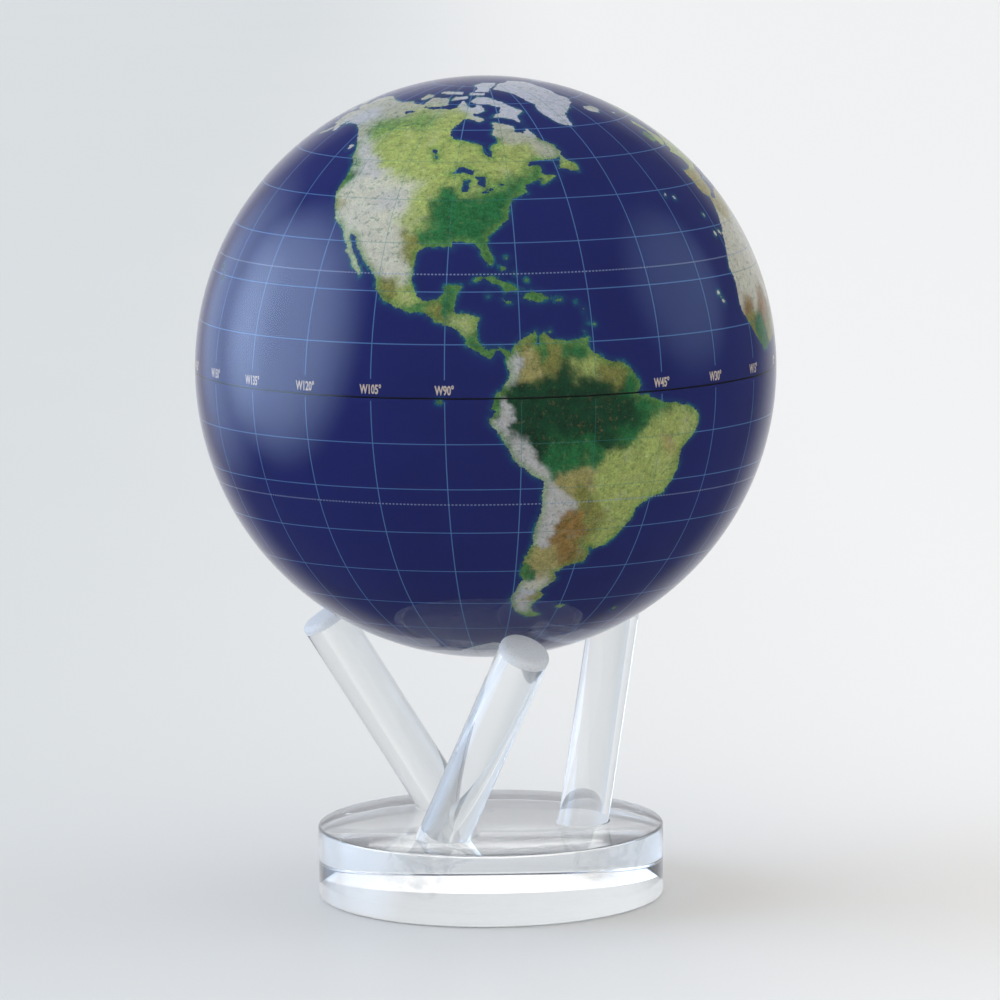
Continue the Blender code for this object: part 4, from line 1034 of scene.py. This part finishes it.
def make_map(printed, bare, seam_black):
    """The printed globe's two halves, with a dark edge where they meet."""
    low = math.degrees(math.asin(SEAM / MAP_RADIUS))
    low_in = math.degrees(math.asin(SEAM / MAP_INNER))
    outside = arc(MAP_RADIUS, 90, low, MAP_RINGS)
    inside = arc(MAP_INNER, low_in, 90, INNER_RINGS)
    outside[0], inside[-1] = (0, MAP_RADIUS), (0, MAP_INNER)
    north = outside + inside
    south = [(radius, -height) for radius, height in reversed(north)]
    for name, profile, first in (("north", north, 0), ("south", south, INNER_RINGS + 1)):
        mesh = lathe("map_" + name, profile, MAP_STEPS)
        band = bands(mesh)
        outer = (band >= first) & (band < first + MAP_RINGS)
        seam = band == (MAP_RINGS if name == "north" else INNER_RINGS)
        dress(mesh, np.where(outer, 0, np.where(seam, 2, 1)))
        mesh.set_sharp_from_angle(angle=math.radians(40))
        paint_map(mesh)
        half = new_piece("printed_globe_" + name, mesh, printed, bare, seam_black)
        half.location = BALL_CENTRE
        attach(half, "inner_globe")
        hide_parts("map_shell_" + name)


NUMBER_HEIGHT = 1.75  # of the lettering, in degrees
NUMBER_NARROWING = 0.62
NUMBER_BASE = 0.75  # latitude that the lettering stands on
NUMBER_BOLDNESS = 0.030  # added to each stroke's outline, as a share of the font's size
CAPITAL_HEIGHT = 0.70  # of the font, as a share of its size
NUMBER_LIFT = 0.00002
NUMBER_THICKNESS = 0.00003


def number_text(longitude):
    if longitude % 180 == 0:
        return f"{abs(longitude)}°"
    return ("W" if longitude < 0 else "E") + f"{abs(longitude)}°"


NUMBERLESS = (-75, -60, 15, 30)  # meridians that cross the equator on land


def make_numbers(ink):
    """The degree numbers on the equator, wrapped round the printed globe."""
    bm = bmesh.new()
    for longitude in range(-180, 180, 15):
        if longitude in NUMBERLESS:
            continue
        curve = bpy.data.curves.new("number", "FONT")
        curve.body = number_text(longitude)
        curve.align_x = "CENTER"
        curve.size = 1.0
        curve.offset = NUMBER_BOLDNESS
        curve.extrude = 0.01
        curve.resolution_u = 3
        text = bpy.data.objects.new("number", curve)
        bpy.context.scene.collection.objects.link(text)
        depsgraph = bpy.context.evaluated_depsgraph_get()
        flat = bpy.data.meshes.new_from_object(text.evaluated_get(depsgraph))
        scale = NUMBER_HEIGHT / CAPITAL_HEIGHT
        for vertex in flat.vertices:
            east = vertex.co.x * scale * NUMBER_NARROWING
            azimuth = math.radians(longitude - MAP_LONGITUDE_AT_X + east)
            latitude = math.radians(NUMBER_BASE + vertex.co.y * scale)
            radius = MAP_RADIUS + NUMBER_LIFT + (NUMBER_THICKNESS if vertex.co.z > 0 else 0)
            vertex.co = (
                radius * math.cos(latitude) * math.cos(azimuth),
                radius * math.cos(latitude) * math.sin(azimuth),
                radius * math.sin(latitude),
            )
        bm.from_mesh(flat)
        bpy.data.objects.remove(text)
        bpy.data.meshes.remove(flat)
    mesh = bpy.data.meshes.new("degree_numbers")
    bm.to_mesh(mesh)
    bm.free()
    numbers = new_piece("degree_numbers", mesh, ink)
    numbers.location = BALL_CENTRE
    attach(numbers, "inner_globe")


# The drive inside, which keeps its CAD shapes


# For each CAD slot: the material's name, colour, roughness and what else moulded() takes
DRIVE_LOOKS = {
    "dark_plastic": ("dark_plastic_grain", (0.030, 0.030, 0.034), 0.50, {}),
    "pale_plastic": ("pale_plastic_grain", (0.74, 0.72, 0.67), 0.45, {"contrast": 0.08}),
    "ballast_iron": (
        "ballast_casting", (0.34, 0.35, 0.36), 0.60,
        {"scale": 900.0, "metallic": 0.9, "depth": 0.00008},
    ),
    "bright_steel": (
        "steel_drawn", (0.62, 0.63, 0.66), 0.24,
        {"scale": 4000.0, "metallic": 1.0, "contrast": 0.10},
    ),
    "yoke_brass": (
        "brass_milled", (0.70, 0.52, 0.22), 0.28,
        {"scale": 3000.0, "metallic": 1.0, "contrast": 0.12},
    ),
    "magnet_coat": (
        "nickel_plating", (0.56, 0.56, 0.57), 0.20,
        {"scale": 2500.0, "metallic": 1.0, "contrast": 0.12},
    ),
    "chip_black": ("chip_epoxy", (0.016, 0.016, 0.017), 0.42, {"scale": 6000.0}),
    "capacitor_sleeve": (
        "capacitor_sleeve", (0.030, 0.050, 0.200), 0.30,
        {"scale": 800.0, "contrast": 0.10},
    ),
    "lead_red": ("lead_red", (0.50, 0.015, 0.015), 0.38, {"scale": 2000.0, "contrast": 0.12}),
    "lead_black": ("lead_black", (0.018, 0.018, 0.018), 0.40, {"scale": 2000.0}),
}


def dress_drive():
    by_slot = {slot: moulded(*look, **extras) for slot, (*look, extras) in DRIVE_LOOKS.items()}
    by_slot["solar_cell"] = solar_cell_material()
    by_slot["board_green"] = board_material()
    by_slot["copper_wire"] = coil_material()
    by_slot["jewel"] = jewel_material()
    for part in frame["record"]["subparts"]:
        node, slot = frame["nodes"][part["node"]], part["material_slot"]
        if slot in by_slot:
            node.data.materials.clear()
            node.data.materials.append(by_slot[slot])


# The studio


FLOOR_SIZE = 80.0
FLOOR_PAINTED_FALLOFF_REACH = 0.17  # across which the floor turns from its painted shade on the left to its painted light on the right
FLOOR_PAINTED_SHADE = (0.610, 0.618, 0.592)
FLOOR_PAINTED_LIGHT = (0.815, 0.782, 0.730)


def make_floor():
    material, graph = new_graph("floor_colour_and_painted_light")
    place = graph.object_place()
    across = graph.add("SeparateXYZ", {0: place}).outputs["X"]
    mottle = graph.math("MULTIPLY", graph.noise(place, 5.0, 3.0), 0.10)
    # Painted light: the floor's colour is darker on its left side and lighter on its right, as if
    # lit from the right
    painted_falloff = graph.step(across, -FLOOR_PAINTED_FALLOFF_REACH, FLOOR_PAINTED_FALLOFF_REACH)
    colour = graph.mix(graph.math("ADD", painted_falloff, mottle), FLOOR_PAINTED_SHADE, FLOOR_PAINTED_LIGHT)
    shader = graph.add("BsdfPrincipled", {"Base Color": colour, "Roughness": 0.45})
    graph.finish(shader.outputs[0])
    bpy.ops.mesh.primitive_plane_add(size=FLOOR_SIZE, location=(0, 0, -0.0002))
    floor = bpy.context.active_object
    floor.name = "studio_floor"
    floor.data.materials.append(material)
    floor.visible_glossy = False


STUDIO_AMBIENT = (0.12, 0.125, 0.14)
# Soft lights in the world: direction, half angles within which each is full and past which
# it's gone, colour and strength
SOFT_LIGHTS = (
    ((-0.98, 0.00, 0.19), 3, 41, (0.75, 1.00, 1.42), 3.5),
    ((-0.82, 0.57, 0.10), 3, 32, (0.76, 1.00, 1.45), 1.2),
    ((0.00, 1.00, -0.10), 8, 50, (1.00, 1.00, 1.03), 0.55),
    ((0.93, 0.03, 0.37), 3, 28, (0.70, 1.00, 1.45), 0.80),
)
SURROUND_RADIUS = 30.0
SURROUND_HEIGHT = 10.0
SURROUND_FOOT = -0.1
SURROUND_STEPS = 96


def make_surround():
    """A pale paper wall far round the floor, behind the stand, which glows as a light of its own:
    painted light, brighter on its left side than on its right. The ball doesn't mirror it.
    """
    material, graph = new_graph("surround_painted_glow")
    place = graph.object_place()
    across = graph.add("SeparateXYZ", {0: place}).outputs["X"]
    # Painted light: the wall's glow is brighter on the left side and dimmer on the right
    painted_falloff = graph.step(across, -SURROUND_RADIUS, SURROUND_RADIUS, smooth=False)
    mottle = graph.math("MULTIPLY", graph.noise(place, 0.2, 3.0), 0.06)
    colour = graph.mix(graph.math("ADD", painted_falloff, mottle), (0.98, 1.00, 1.02), (0.66, 0.67, 0.68))
    graph.finish(graph.add("Emission", {"Color": colour, "Strength": 1.0}).outputs[0])
    material.cycles.emission_sampling = "NONE"
    wall_profile = [(SURROUND_RADIUS, SURROUND_HEIGHT), (SURROUND_RADIUS, SURROUND_FOOT)]
    mesh = lathe("surround", wall_profile, SURROUND_STEPS)
    dress(mesh, np.zeros(len(mesh.polygons)))
    wall = new_piece("studio_surround", mesh, material)
    wall.visible_diffuse = False
    wall.visible_glossy = False
    wall.visible_shadow = False


def make_studio_light():
    world = bpy.data.worlds.new("studio")
    bpy.context.scene.world = world
    graph = Graph(world)
    direction = graph.vector("NORMALIZE", graph.add("TexCoord").outputs["Generated"])
    colour = STUDIO_AMBIENT
    for towards, inner, outer, tint, strength in SOFT_LIGHTS:
        facing = graph.vector("DOT_PRODUCT", direction, Vector(towards).normalized())
        inside = graph.step(facing, math.cos(math.radians(outer)), math.cos(math.radians(inner)))
        glow = tuple(channel * strength for channel in tint)
        colour = graph.mix(inside, colour, graph.mix(1.0, colour, glow, "ADD"))
    background = graph.add("Background", {"Color": colour, "Strength": 1.0})
    graph.add("OutputWorld", {"Surface": background.outputs[0]})


OVERHEAD_STRENGTH = 2.75
OVERHEAD_WIDTH = 160  # degrees
OVERHEAD_COLOUR = (1.0, 0.985, 0.955)
OVERHEAD_DIRECTION = Vector((-0.05, 0.05, -1.0))


def make_overhead_light():
    """A very wide soft light from above, which the ball doesn't mirror."""
    lamp = bpy.data.lights.new("overhead", "SUN")
    lamp.energy = OVERHEAD_STRENGTH
    lamp.angle = math.radians(OVERHEAD_WIDTH)
    lamp.color = OVERHEAD_COLOUR
    holder = bpy.data.objects.new("overhead", lamp)
    bpy.context.scene.collection.objects.link(holder)
    holder.rotation_euler = OVERHEAD_DIRECTION.to_track_quat("-Z", "Y").to_euler()
    holder.visible_glossy = False


CAMERA_PLACE = Vector((-0.0098, -1.032, 0.2182))
CAMERA_PITCH = 7.704  # degrees down
CAMERA_YAW = 0.685  # degrees to the right of +Y
CAMERA_ROLL = -0.6
CAMERA_LENS = 189.9  # millimetres, on a sensor 36 wide


def make_camera():
    """A metre in front of the globe and a little above it."""
    pitch, yaw, roll = (math.radians(a) for a in (CAMERA_PITCH, CAMERA_YAW, CAMERA_ROLL))
    level = math.cos(pitch)
    forward = Vector((math.sin(yaw) * level, math.cos(yaw) * level, -math.sin(pitch)))
    right = forward.cross(Vector((0, 0, 1))).normalized()
    up = right.cross(forward)
    turned_right = right * math.cos(roll) + up * math.sin(roll)
    turned_up = up * math.cos(roll) - right * math.sin(roll)
    camera = bpy.data.cameras.new("camera")
    camera.sensor_width = 36.0
    camera.lens = CAMERA_LENS
    camera.clip_start = 0.05
    camera.clip_end = 50.0
    holder = bpy.data.objects.new("camera", camera)
    bpy.context.scene.collection.objects.link(holder)
    turn = Matrix((turned_right, turned_up, -forward)).transposed()
    holder.matrix_world = Matrix.Translation(CAMERA_PLACE) @ turn.to_4x4()
    bpy.context.scene.camera = holder


make_camera()
make_floor()
make_surround()
make_studio_light()
make_overhead_light()

stand_clear = acrylic("stand_acrylic", (0.985, 0.995, 0.995), 0.00002, clarity=0.92)
make_base(stand_clear, matched_face("bonded_face", SOCKET_HAZE))
make_rods(stand_clear, matched_face("bonded_rod_face", SOCKET_HAZE), ground_acrylic())
ball_clear = acrylic("ball_acrylic", (0.99, 0.995, 1.0), 0.000002)
make_ball(ball_clear, matched_face("shell_inside", 0.0))
make_fluid(matched_face("fluid_face", 0.0))
make_plug(acrylic("plug_acrylic", (0.92, 0.94, 0.95), 0.00003))
shell_plastic = moulded("shell_plastic", (0.62, 0.60, 0.56), 0.55, contrast=0.06)
seam_black = moulded("seam_black", (0.012, 0.012, 0.014), 0.55)
make_map(map_print(), shell_plastic, seam_black)
make_numbers(moulded("number_ink", (0.88, 0.74, 0.62), 0.5, contrast=0.05))
dress_drive()

scene = bpy.context.scene
scene.cycles.max_bounces = 16
scene.cycles.transmission_bounces = 16
scene.cycles.transparent_max_bounces = 24
scene.view_settings.view_transform = "Standard"
